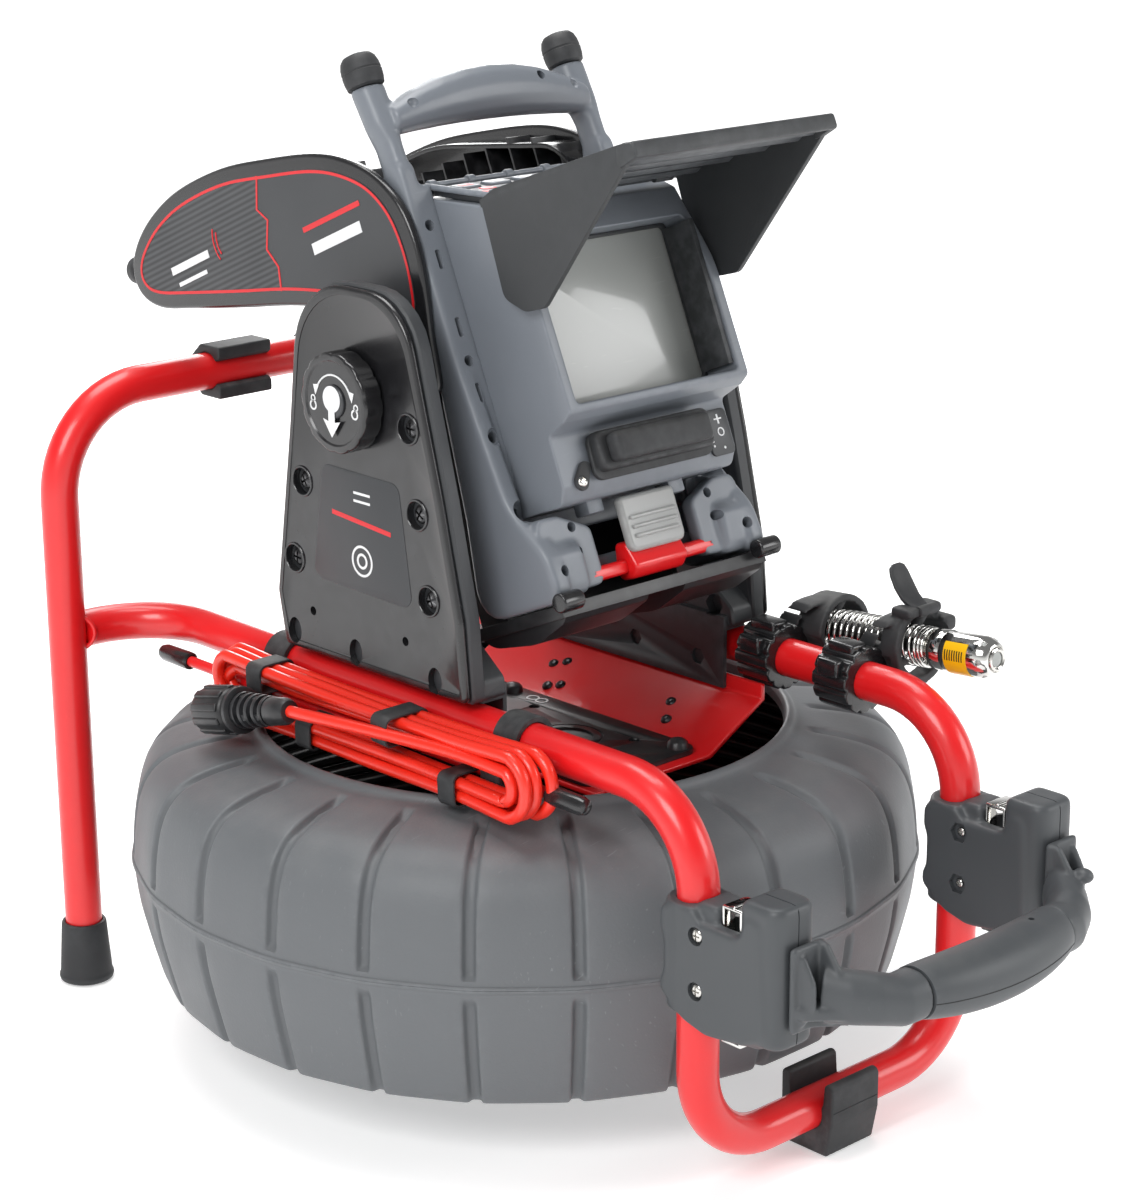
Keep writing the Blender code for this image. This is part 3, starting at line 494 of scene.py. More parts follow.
def mixed(tree, mask, low, high):
    node = add(tree, "ShaderNodeMix", data_type="RGBA")
    for socket, value in ((node.inputs["Factor"], mask), (node.inputs[6], low), (node.inputs[7], high)):
        if isinstance(value, bpy.types.NodeSocket):
            tree.links.new(value, socket)
        else:
            socket.default_value = value
    return node.outputs[2]


def grouped(tree, group, place, amount):
    node = add(tree, "ShaderNodeGroup", node_tree=group, inputs={"Vector": place, "Amount": amount})
    return node.outputs["Mask"]


print("ready to mix finishes")

# %% The machine's finishes
# The drum plastic's lighter edge colour and amount are partly edge wear and partly a painted sheen.
drum_plastic = surface("drum_plastic", "drum_plastic", srgb(99, 102, 105), 0.52, grain=620, depth=0.00011,
                       worn_and_sheen=srgb(140, 143, 146), wear_and_sheen=0.35, dust=0.10, scratches=0.55, mottle=0.10)
red_paint = surface("red_paint", "red_paint", srgb(226, 24, 28), 0.34, grain=300, depth=0.000012,
                    worn_and_sheen=srgb(240, 62, 50), wear_and_sheen=0.1, dust=0.03, scratches=0.05, mottle=0.06, Coat_Weight=0.35,
                    Coat_Roughness=0.12)
monitor_plastic = surface("monitor_plastic", "monitor_plastic", srgb(112, 117, 124), 0.38, grain=1400,
                          depth=0.000012, worn_and_sheen=srgb(160, 164, 170), wear_and_sheen=0.25, dust=0.05, scratches=0.12,
                          mottle=0.07)
charcoal_grain = surface("charcoal_grain", "charcoal_plastic", srgb(52, 54, 57), 0.5, grain=1100, depth=0.00004,
                         worn_and_sheen=srgb(92, 95, 98), wear_and_sheen=0.45, dust=0.10, scratches=0.2)
visor_plastic = surface("visor_plastic", "charcoal_plastic", srgb(48, 50, 52), 0.55, grain=1000, depth=0.00005,
                        worn_and_sheen=srgb(96, 98, 101), wear_and_sheen=0.5, dust=0.06, scratches=0.1)
handle_plastic = surface("handle_plastic", "charcoal_plastic", srgb(70, 73, 76), 0.47, grain=1300, depth=0.00002,
                         worn_and_sheen=srgb(112, 115, 118), wear_and_sheen=0.4, dust=0.06, scratches=0.15)
gloss_black = surface("gloss_black", "black_plastic", srgb(27, 27, 29), 0.24, grain=700, depth=0.000006,
                      worn_and_sheen=srgb(70, 71, 74), wear_and_sheen=0.3, dust=0.06, scratches=0.25, mottle=0.15, Coat_Weight=0.25,
                      Coat_Roughness=0.1)
black_plastic = surface("black_plastic", "black_plastic", srgb(30, 30, 32), 0.36, grain=900, depth=0.00001,
                        worn_and_sheen=srgb(84, 85, 88), wear_and_sheen=0.4, dust=0.08, scratches=0.2)
black_rubber = surface("black_rubber", "black_rubber", srgb(40, 41, 43), 0.62, grain=800, depth=0.00003,
                       worn_and_sheen=srgb(86, 88, 90), wear_and_sheen=0.5, dust=0.14, scratches=0.0)
red_plastic = surface("red_plastic", "red_plastic", srgb(222, 22, 26), 0.3, grain=900, depth=0.000008, wear_and_sheen=0.1,
                      dust=0.02, scratches=0.05, Coat_Weight=0.3)
push_cable_black = surface("push_cable_black", "black_rubber", srgb(22, 21, 21), 0.3, grain=500, depth=0.00002,
                           wear_and_sheen=0.0, dust=0.03, scratches=0.3)
bright_steel = surface("bright_steel", "steel", srgb(214, 212, 208), 0.17, grain=600, depth=0.000004,
                       worn_and_sheen=srgb(236, 235, 232), wear_and_sheen=0.3, dust=0.0, scratches=0.3, mottle=0.16, Metallic=1.0)
chrome_steel = surface("chrome_steel", "chrome_steel", srgb(222, 221, 218), 0.09, grain=500, depth=0.000003,
                       worn_and_sheen=srgb(240, 240, 238), wear_and_sheen=0.2, dust=0.0, scratches=0.25, mottle=0.12, Metallic=1.0)
dark_screw = surface("dark_screw", "black_plastic", srgb(46, 46, 48), 0.28, grain=900, depth=0.00001,
                     worn_and_sheen=srgb(150, 150, 152), wear_and_sheen=0.6, dust=0.05, Metallic=0.75)
cable_jacket = surface("cable_jacket", "cable_jacket", srgb(238, 44, 26), 0.3, grain=420, depth=0.00001,
                       worn_and_sheen=srgb(250, 90, 60), wear_and_sheen=0.1, dust=0.02, scratches=0.1, mottle=0.05,
                       Coat_Weight=0.3, Coat_Roughness=0.2)
label_dark = surface("label_dark", "charcoal_plastic", srgb(52, 54, 57), 0.42, grain=1800, depth=0.000012,
                     wear_and_sheen=0.0, dust=0.05, scratches=0.3, mottle=0.08)
print_red = surface("print_red", "red_plastic", srgb(214, 24, 34), 0.4, depth=0, wear_and_sheen=0, dust=0.02, scratches=0.2)
print_white = surface("print_white", "screen_cover", srgb(226, 227, 228), 0.45, depth=0, wear_and_sheen=0, dust=0.03,
                      scratches=0.2, mottle=0.05)
print_yellow = surface("print_yellow", "screen_cover", srgb(246, 190, 14), 0.32, depth=0, wear_and_sheen=0, dust=0.02,
                       scratches=0.3)
inner_black = surface("inner_black", "black_plastic", srgb(14, 14, 15), 0.5, depth=0, wear_and_sheen=0, dust=0.05)

# %% [markdown]
# ## Finishing a piece
# Every piece goes through the same last step.  Its bmesh is moved into the model's frame and turned into a mesh with
# smooth faces and sharp edges where it is folded, then it gets its finish, rides on its body and stands for the
# coarse parts that it replaces.

# %% The last step
def piece(name, work, finish, body, place=MACHINE, replaces=(), sharp=38, recalculate=True):
    moved(work, place)
    if recalculate:
        bmesh.ops.recalc_face_normals(work, faces=work.faces)
    mesh = bpy.data.meshes.new(name)
    work.to_mesh(mesh)
    work.free()
    mesh.materials.clear()
    mesh.materials.append(finish)
    mesh.shade_smooth()
    mesh.set_sharp_from_angle(angle=math.radians(sharp))
    made = bpy.data.objects.new(name, mesh)
    bpy.context.scene.collection.objects.link(made)
    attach(made, body)
    if replaces:
        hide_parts(*replaces)
    print(name, "faces:", len(mesh.polygons))
    return made


def refined(node, width=0.6, segments=3, angle=40):
    """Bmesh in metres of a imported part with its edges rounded, as a moulding has them."""
    work = bmesh.new()
    work.from_mesh(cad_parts[node].data)
    bmesh.ops.remove_doubles(work, verts=work.verts, dist=0.000002)
    bmesh.ops.dissolve_limit(work, angle_limit=math.radians(1.5), verts=work.verts, edges=work.edges)
    return softened(work, width / 1000, segments, angle)


def follow(node, finish):
    """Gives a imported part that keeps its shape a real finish."""
    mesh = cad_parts[node].data
    mesh.materials.clear()
    mesh.materials.append(finish)


STILL = Matrix.Identity(4)
print("last step ready")
# %% [markdown]
# ## The monitor's cable
# One orange-red cable joins the drum's slip ring to the monitor.  It leaves a gland on the hub plate, comes out
# behind the left rail, runs round the wrapping rod in a hank of about five turns, and ends in a threaded connector
# that rests against the hank.  It is 7 mm thick and about 3 m long.  It is drawn as one open curve, and its round
# section comes from the curve's own bevel.

# %% Route of the cable
CORD_R = 3.5
GLAND = (-30, 62.3, 186)
TAIL = [GLAND, (-30, 78, 186), (-31, 96, 187.5), (-38, 113, 191), (-53, 126, 194.5), (-74, 134, 197),
        (-96, 140, 197), (-110, 143, 196), (-119, 137, 195), (-122.2, 122, 195.4)]
FRONT_END, REAR_END = -140.0, 106.0
HANK_MIDDLE = 210.0
# each turn: how far from the drum's axis, half height of the lower run, half height of the upper run
TURNS = ((-122.3, 14.3, 14.3), (-129.4, 14.3, 14.3), (-129.6, 7.2, 7.2), (-136.7, 14.3, 14.3), (-136.9, 7.2, 7.2))


def wander(turn, t):
    """A little slack, so that neighbouring runs don't lie ruler-straight."""
    return 0.5 * math.sin(3.1 * t + 1.7 * turn), 0.45 * math.sin(2.3 * t + 2.6 * turn)


def run(turn, x, half, start, stop, knots=9):
    points = []
    for step in range(knots):
        t = step / (knots - 1)
        y = start + (stop - start) * t
        bow = 1 - (2 * t - 1) ** 2
        dx, dz = wander(turn, 3 * t)
        flare = 1 + 0.16 * (1 - bow) ** 2
        points.append((x + dx * bow, y, HANK_MIDDLE + half * flare + dz * bow))
    return points


def fold(x_from, x_to, low, high, near, far, direction, knots=9):
    """Half circle from one run to the next; direction is -1 at the front and 1 at the rear."""
    middle, radius = (low + high) / 2, abs(high - low) / 2
    points = []
    for step in range(1, knots):
        angle = math.pi * step / knots
        height = middle + (low - middle) * math.cos(angle)
        share = (1 - math.cos(angle)) / 2
        points.append((x_from + (x_to - x_from) * share,
                       near + (far - near) * share + direction * radius * 0.95 * math.sin(angle), height))
    return points


route = smooth_route(TAIL[:-1], 3)[:-1]
FLARE = 1.16
slips = [5.0 * (turn % 2) + (7.0 if low < 10 else 0.0) for turn, (x, low, high) in enumerate(TURNS)]
for turn, (x, low, high) in enumerate(TURNS):
    slip = slips[turn]
    first = turn == 0
    last = turn == len(TURNS) - 1
    route += run(turn, x, -low, 112.0 if first else REAR_END - slip, FRONT_END + slip)
    route += fold(x, x, HANK_MIDDLE - low * FLARE, HANK_MIDDLE + high * FLARE, FRONT_END + slip,
                  FRONT_END + slip, -1)
    if last:
        break
    route += run(turn, x, high, FRONT_END + slip, REAR_END - slip)
    next_x, next_low = TURNS[turn + 1][:2]
    route += fold(x, next_x, HANK_MIDDLE + high * FLARE, HANK_MIDDLE - next_low * FLARE, REAR_END - slip,
                  REAR_END - slips[turn + 1], 1)
BOOT_END = (-158, 17.5, 218.9)
LEAD = [(-137.2, -128, 218.4), (-138.4, -104, 219.4), (-141.8, -78, 219.8), (-147.0, -52, 220.2),
        (-152.5, -28, 220.6), (-156.3, -8, 220.4), (-157.9, 6, 219.8), BOOT_END]
route += LEAD
route = smooth_route(route, 3)
cord_length = route_length([MACHINE @ Vector(point) for point in route])
print("cable length in metres:", round(cord_length, 3), "points:", len(route))

# %% Cable as one curve
def cable_curve(name, route, radius, finish, sides=7):
    curve = bpy.data.curves.new(name, "CURVE")
    curve.dimensions = "3D"
    curve.bevel_depth = radius / 1000
    curve.bevel_resolution = sides
    curve.use_fill_caps = True
    spline = curve.splines.new("POLY")
    spline.points.add(len(route) - 1)
    for knot, point in zip(spline.points, route):
        knot.co = (*(MACHINE @ Vector(point)), 1.0)
    spline.use_smooth = True
    curve.materials.append(finish)
    made = bpy.data.objects.new(name, curve)
    bpy.context.scene.collection.objects.link(made)
    return made


monitor_cable = cable_curve("monitor_cable", route, CORD_R, cable_jacket)
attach(monitor_cable, "frame")
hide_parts("cord_tail", "cord_hank", "cord_lead")
print("cable drawn from the gland to the connector")

# %% [markdown]
# ### Connector and strain relief
# The cable's end is a threaded ring with ten grip ribs on a black plug, and behind it a finned sleeve that lets the
# cable bend without a kink.  Both are turned shapes: the ribs are copies of one rounded bar spun round the axis.

# %% Connector
NUT_FROM, NUT_TO = Vector((-158, 94, 201.5)), Vector((-158, 60.3, 209.3))
nut_axis = between(NUT_FROM, NUT_TO)
NUT_LONG = (NUT_TO - NUT_FROM).length
nut_profile = [(0, 0), (10.5, 0), (12.6, 1.0), (13.2, 3.0), (13.2, 26), (12.4, 27.5), (11.4, 28.2), (11.4, 31),
               (13.4, 31.6), (13.4, 34), (12.4, NUT_LONG), (0, NUT_LONG)]
nut = turned(nut_profile, 48, nut_axis)
rib = softened(block((-2.4, 11.6, 2.2), (2.4, 14.3, 26.5)), 1.0, 3)
ribs = [moved(rib.copy(), nut_axis @ Matrix.Rotation(math.tau * i / 10, 4, "Z")) for i in range(10)]
rib.free()
socket = ring(NUT_FROM, 7.4, 10.4, 3.0, NUT_TO - NUT_FROM)
connector = piece("connector", together(nut, *ribs, socket), black_plastic, "frame", replaces=["connector_nut"])

boot_axis = between((-158, 60, 209.4), BOOT_END)
sleeve = [(0, 0), (7.2, 0), (5.0, 43), (0, 43)]
fins = [turned([(3, h), (10.3 - 0.085 * h, h), (10.6 - 0.085 * h, h + 0.6), (10.6 - 0.085 * h, h + 2.2),
                (10.3 - 0.085 * h, h + 2.8), (3, h + 2.8)], 40, boot_axis) for h in (0.4, 6.2, 12, 17.8, 23.6)]
webs = [moved(block((-1.6, -9.4 + 0.085 * h, h + 2.2), (1.6, 9.4 - 0.085 * h, h + 6.6)),
              boot_axis @ Matrix.Rotation(math.pi / 2 * (i % 2) + 0.3, 4, "Z"))
        for i, h in enumerate((0.4, 6.2, 12, 17.8))]
tip = turned([(0, 26), (7.4, 26), (8.2, 28), (7.6, 40), (6.2, 43.2), (4.0, 43.6), (0, 43.6)], 40, boot_axis)
strain_relief = piece("strain_relief", together(turned(sleeve, 32, boot_axis), *fins, *webs, tip), black_plastic,
                      "frame", replaces=["connector_boot"])

# %% [markdown]
# ### Wrapping rod, its clips and the rubber ties
# A thin red rod with black end caps holds the hank's inside, and two clips hold the rod on the rail.  Four rubber
# ties go round parts of the hank.

# %% Rod, caps, clips and ties
ROD_X, ROD_Z = -121.0, 206.5
piece("wrapping_rod", rod((ROD_X, -176, ROD_Z), (ROD_X, 184, ROD_Z), 3.2, None, 24), red_paint, "frame",
      replaces=["wrap_rod"])
cap_profile = [(0, 0), (4.2, 0), (5.2, 0.8), (5.4, 3), (5.2, 24), (4.2, 27.5), (2, 29), (0, 29)]
caps = [turned(cap_profile, 32, between((ROD_X, -152, ROD_Z), (ROD_X, -182, ROD_Z))),
        turned(cap_profile, 32, between((ROD_X, 160, ROD_Z), (ROD_X, 190, ROD_Z)))]
piece("rod_caps", together(*caps), gloss_black, "frame")


def tie(y, low, high, x_out, x_in, lean=0.0, width=13.0):
    """Rubber strap round part of the hank between two heights, at y."""
    corners = [(x_out, low, 3.4), (x_in, low, 3.4), (x_in, high, 3.4), (x_out, high, 3.4)]
    outer = rounded([(a, b, 4.6) for a, b in ((x_out - 1.2, low - 1.2), (x_in + 1.2, low - 1.2),
                                               (x_in + 1.2, high + 1.2), (x_out - 1.2, high + 1.2))], 8)
    band = softened(prism(outer, -width / 2, width / 2, "Y"), 0.5, 2, 60)
    inner = prism(rounded(corners, 8), -width, width, "Y")
    return moved(cut(band, inner), Matrix.Translation((0, y, 0)) @ Matrix.Rotation(lean, 4, "X"))


ties = [tie(72, 213.4, 228.6, -141.0, -118.2), tie(-32, 213.4, 228.6, -146.6, -118.2, 0.06),
        tie(28, 190.9, 206.7, -141.2, -118.2), tie(-104, 190.4, 206.9, -141.4, -118.2, -0.05)]
piece("hank_ties", together(*ties), black_rubber, "frame")

for name, y in (("rear", 86), ("front", -112)):
    clip = ring((-102.7, y, 221.8), 11.3, 14.9, 18, segments=48)
    arm = softened(block((-127.5, y - 8, 200), (-110, y + 8, 213.5)), 2.0)
    hole = rod((ROD_X, y - 20, ROD_Z), (ROD_X, y + 20, ROD_Z), 3.4)
    tube_hole = rod((-102.7, y - 20, 221.8), (-102.7, y + 20, 221.8), 11.4)
    piece("rod_clip_shaped_" + name, cut(combined(clip, [arm], "UNION"), hole, tube_hole), black_rubber, "frame",
          replaces=["rod_clip_" + name])

# %% [markdown]
# ## The drum
# The drum is two rotation-moulded shells that meet at a bead.  Twenty-five grooves run from beside the mouth over
# the shoulder and down to the floor, and stop short of the bead.  The shells are spun from a profile.  Sixteen steps
# lie between two grooves, and each step is slid sideways so that the narrow grooves get most of the mesh; then the
# points inside a groove sink by its depth.

# %% Drum profiles
GROOVES, STEPS = 25, 16
FIRST_GROOVE = math.radians(177.0)
GROOVE_DEPTH = 4.2
SLIDE = {0: 0.0, 1: 1.7, 2: 2.6, 3: 3.4, 4: 4.2, 5: 5.4}      # sideways place of a step, in millimetres
SINK = {0: 1.0, 1: 0.97, 2: 0.78, 3: 0.36, 4: 0.07, 5: 0.0}    # share of the full depth there


def drum_steps(profile, start, stop):
    """Spun profile whose groove runs between the profile's places start and stop."""
    work = bmesh.new()
    places = work.verts.layers.float.new("place")
    points = []
    for index, (radius, height) in enumerate(profile):
        vertex = work.verts.new((radius, 0, height))
        vertex[places] = index
        points.append(vertex)
    edges = [work.edges.new(pair) for pair in zip(points, points[1:])]
    bmesh.ops.spin(work, geom=points + edges, cent=(0, 0, 0), axis=(0, 0, 1), angle=math.tau,
                   steps=GROOVES * STEPS, use_merge=True)
    step_angle = math.tau / (GROOVES * STEPS)
    for vertex in work.verts:
        radius = math.hypot(vertex.co.x, vertex.co.y)
        count = round(math.atan2(vertex.co.y, vertex.co.x) / step_angle) % (GROOVES * STEPS)
        groove, step = (count + STEPS // 2) // STEPS, (count + STEPS // 2) % STEPS - STEPS // 2
        reach, side = abs(step), 1 if step >= 0 else -1
        if reach <= 5:
            offset, sink = SLIDE[reach] / radius, SINK[reach]
        else:
            edge = 5.4 / radius
            offset, sink = edge + (math.pi / GROOVES - edge) * (reach - 5) / 3, 0.0
        angle = FIRST_GROOVE + groove * math.tau / GROOVES + side * offset
        place = vertex[places]
        share = min(1.0, max(0.0, (place - start) / 3.0)) * min(1.0, max(0.0, (stop - place) / 1.5))
        flat = 1.3 * math.sin(offset / (math.pi / GROOVES) * math.pi / 2) ** 2 if radius > 205 else 0.0
        depth = GROOVE_DEPTH * sink * share * share * (3 - 2 * share)
        steep = min(1.0, max(0.0, (radius - 200.0) / 20.0)) if vertex.co.z > 120 else 1.0
        inward = radius - depth * steep - flat * 0.6
        vertex.co = (inward * math.cos(angle), inward * math.sin(angle), vertex.co.z - depth * (1 - steep))
    return work


def dense(points, per_span=4):
    return [(point.x, point.y) for point in smooth_route([(a, b, 0) for a, b in points], per_span)]


upper_outside = dense([(151.2, 186.2), (152.4, 188.6), (154.4, 189.2), (156.6, 188.2), (159, 185.6), (165, 184.3),
                       (176, 182.9), (190, 180.6), (203, 177.0), (213, 171.5), (220.5, 163), (225.4, 151),
                       (228.3, 135), (229.6, 120), (229.9, 113.6)], 4)
upper_bead = [(230.6, 113.2), (230.9, 112.6), (230.9, 111.75), (227, 111.7)]
upper = upper_outside + upper_bead
groove_from = next(i for i, point in enumerate(upper) if point[0] > 164)
groove_to = next(i for i, point in enumerate(upper) if point[1] < 116.5)
upper_shell = drum_steps(upper, groove_from, groove_to)
lower_outside = dense([(229.7, 109.4), (229.0, 100), (227.2, 87), (223.6, 71), (219.3, 54), (216.3, 43.5),
                       (213.4, 39.4), (209.5, 38.5), (205, 40.2), (200.5, 44)], 4)
lower = [(227, 111.6), (230.9, 111.55), (230.9, 110.7), (230.4, 110.0)] + lower_outside
lower_shell = drum_steps(lower, 5, len(lower) + 2)
print("profile points:", len(upper), len(lower))

# %% Drum shells with their inner walls
inner_upper = [(151.2, 186.2), (150.8, 181), (184, 178.4), (202, 173.4), (213, 166), (219.6, 155), (223.2, 140),
               (224.6, 124), (224.9, 111.7), (227, 111.7)]
inner_lower = [(200.5, 44), (120, 44), (41, 44), (41, 48), (120, 48), (203, 48.4), (211, 51.5), (216.5, 67), (222, 92),
               (224.4, 111.6), (227, 111.6)]
for name, shell, inside in (("upper", upper_shell, inner_upper), ("lower", lower_shell, inner_lower)):
    lining = turned(inside, GROOVES * 4, closed=False)
    piece("drum_shell_" + name, together(shell, lining), drum_plastic, "drum", replaces=["drum_" + name], sharp=50)

# %% [markdown]
# ### The push cable in the drum
# About 30 m of black push cable lies in two layers against the drum's wall.  Each turn is a ring with its own small
# error in radius and height, so that the stack looks wound and not machined.

# %% Wound push cable
import random
random.seed(7)
PUSH_R = 4.3
WALL = ((49, 205.5), (55, 209), (68, 216.4), (92, 222.2), (112, 224.2), (134, 223.2), (150, 218.5))


def wall_at(height):
    for (z0, r0), (z1, r1) in zip(WALL, WALL[1:]):
        if height <= z1:
            return r0 + (r1 - r0) * (height - z0) / (z1 - z0)
    return WALL[-1][1]


def cable_ring(radius, height):
    work = bmesh.new()
    bmesh.ops.create_circle(work, segments=12, radius=PUSH_R,
                            matrix=Matrix.Translation((radius, 0, height)) @ Matrix.Rotation(math.pi / 2, 4, "X"))
    geom = work.verts[:] + work.edges[:]
    bmesh.ops.spin(work, geom=geom, cent=(0, 0, 0), axis=(0, 0, 1), angle=math.tau, steps=90, use_merge=True)
    bmesh.ops.remove_doubles(work, verts=work.verts, dist=0.001)
    return work


turns = []
for level in range(11):
    height = 53.8 + level * 8.75
    for layer in range(2):
        jitter = random.uniform(-0.7, 0.7)
        up = 0 if layer == 0 else random.uniform(-1.0, 1.2)
        turns.append(cable_ring(wall_at(height) - PUSH_R - 0.6 - layer * 8.4 + jitter, height + up))
piece("push_cable", together(*turns), push_cable_black, "drum", replaces=["push_cable_coil"], sharp=80)
follow("drum_hub", black_plastic)
follow("spindle", bright_steel)
follow("spindle_bearing", bright_steel)

# %% [markdown]
# ## The tube frame
# Two bent tubes, powder coated red.  The front loop runs along both sides, down in front and across; the rear hoop
# stands behind the drum.  A small weld bead closes the joint where a side rail meets the hoop.

# %% Tubes
TUBE_R, LEG_X, LEG_Y, RAIL_X, RAIL_Z, FRONT_Y, BAR_Z, HOOP_Z = 11.1, 168.4, 218.3, 102.7, 221.8, -242.7, 23.9, 363.7
loop_end = LEG_X - TUBE_R + 1
loop_corners = [(-loop_end, LEG_Y, RAIL_Z), (-RAIL_X, LEG_Y, RAIL_Z), (-RAIL_X, FRONT_Y, RAIL_Z),
                (-RAIL_X, FRONT_Y, BAR_Z), (RAIL_X, FRONT_Y, BAR_Z), (RAIL_X, FRONT_Y, RAIL_Z),
                (RAIL_X, LEG_Y, RAIL_Z), (loop_end, LEG_Y, RAIL_Z)]
hoop_corners = [(-LEG_X, LEG_Y, 8.5), (-LEG_X, LEG_Y, HOOP_Z), (LEG_X, LEG_Y, HOOP_Z), (LEG_X, LEG_Y, 8.5)]
piece("front_loop_tube", bent_tube(loop_corners, 51.0, TUBE_R), red_paint, "frame", replaces=["front_loop"])
piece("rear_hoop_tube", bent_tube(hoop_corners, 60.0, TUBE_R), red_paint, "frame", replaces=["rear_hoop"])
beads = []
for _, side in SIDES:
    ringed = bmesh.new()
    bmesh.ops.create_circle(ringed, segments=14, radius=1.5,
                            matrix=Matrix.Translation((TUBE_R + 0.3, 0, 0)) @ Matrix.Rotation(math.pi / 2, 4, "X"))
    bmesh.ops.spin(ringed, geom=ringed.verts[:] + ringed.edges[:], cent=(0, 0, 0), axis=(0, 0, 1), angle=math.tau,
                   steps=60, use_merge=True)
    for vertex in ringed.verts:
        around = math.atan2(vertex.co.y, vertex.co.x)
        saddle = TUBE_R - math.sqrt(max(0.0, TUBE_R ** 2 - (math.sin(around) * (TUBE_R - 0.4)) ** 2))
        vertex.co.z += 0.25 * math.sin(23 * around) + saddle - 0.6
    beads.append(moved(ringed, between((side * (LEG_X - TUBE_R), LEG_Y, RAIL_Z), (side * LEG_X, LEG_Y, RAIL_Z))))
piece("weld_beads", together(*beads), red_paint, "frame", sharp=80)
print("tubes bent")
# %% [markdown]
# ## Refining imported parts
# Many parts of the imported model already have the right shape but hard, plain edges.  Two helpers give their copies a
# moulded look: one rounds the edges, the other melts the copy, so that ribs and stems flow into each other.

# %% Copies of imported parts
def inset(outline, distance):
    """A closed outline moved inwards by a distance, point by point."""
    count = len(outline)
    area = sum(outline[i - 1][0] * outline[i][1] - outline[i][0] * outline[i - 1][1] for i in range(count))
    turn = 1 if area > 0 else -1
    points = []
    for i, (a, b) in enumerate(outline):
        along = Vector(outline[(i + 1) % count]) - Vector(outline[i - 1])
        along.normalize()
        points.append((a - along.y * turn * distance, b + along.x * turn * distance))
    return points


def stripe(outline, distance, width, x, thick, side):
    """Thin raised line that follows an outline at a distance inside it."""
    outer, inner = inset(outline, distance), inset(outline, distance + width)
    work = bmesh.new()
    levels = [(x, outer), (x + side * thick, outer), (x + side * thick, inner), (x, inner)]
    rings = [[work.verts.new((level, *point)) for point in line] for level, line in levels]
    for k in range(4):
        for i in range(len(outer)):
            work.faces.new((rings[k - 1][i - 1], rings[k - 1][i], rings[k][i], rings[k][i - 1]))
    bmesh.ops.recalc_face_normals(work, faces=work.faces)
    return work


def closed_curve(points, per_span=6):
    """Smooth closed outline through a few points."""
    count = len(points)
    knots = [Vector(point) for point in points]
    curve = []
    for i in range(count):
        a, b, c, d = (knots[(i + j) % count] for j in (-1, 0, 1, 2))
        for step in range(per_span):
            t = step / per_span
            curve.append(tuple(0.5 * (2 * b + (c - a) * t + (2 * a - 5 * b + 4 * c - d) * t ** 2
                                      + (3 * b - a - 3 * c + d) * t ** 3)))
    return curve


def cross_screw(place, radius=5.2, height=2.6):
    """Pan head along Z with a cross recess."""
    head = turned([(0, 0), (radius, 0), (radius, height * 0.35), (radius * 0.86, height * 0.75),
                   (radius * 0.5, height), (0, height)], 32)
    blades = [block((-radius * 0.62, -radius * 0.12, height * 0.45), (radius * 0.62, radius * 0.12, height + 1)),
              block((-radius * 0.12, -radius * 0.62, height * 0.45), (radius * 0.12, radius * 0.62, height + 1))]
    return moved(cut(head, *blades), place)


def hexagon(place, across, depth):
    work = bmesh.new()
    bmesh.ops.create_cone(work, cap_ends=True, segments=6, radius1=across / 1.732, radius2=across / 1.732,
                          depth=depth)
    return moved(work, place)


def facing(x, y, z, side):
    """Frame at a point with Z pointing out of the machine's side."""
    return Matrix.Translation((x, y, z)) @ Matrix.Rotation(side * math.pi / 2, 4, "Y")


print("helpers for copies ready")

# %% [markdown]
# ## The docking stand
# A folded red sheet spans the drum's mouth.  On it stand two side walls, each a grained inner shell with a glossy
# cover screwed to it.  The covers have five deep screw wells, a sunk label field and drain holes near the bottom.

# %% Side shells and covers
PLATE_BASE = 236.0


def plate_outline(inset=0.0):
    return rounded([(-85 + inset, PLATE_BASE + inset, 4), (-81 + inset, 282, 40), (-66 + inset, 347, 80),
                    (-38 + inset, 452 - inset, 38), (52 - inset, 452 - inset, 44), (63 - inset, 369, 60),
                    (79 - inset, 268, 12), (73 - inset, PLATE_BASE + inset, 4)], 10)


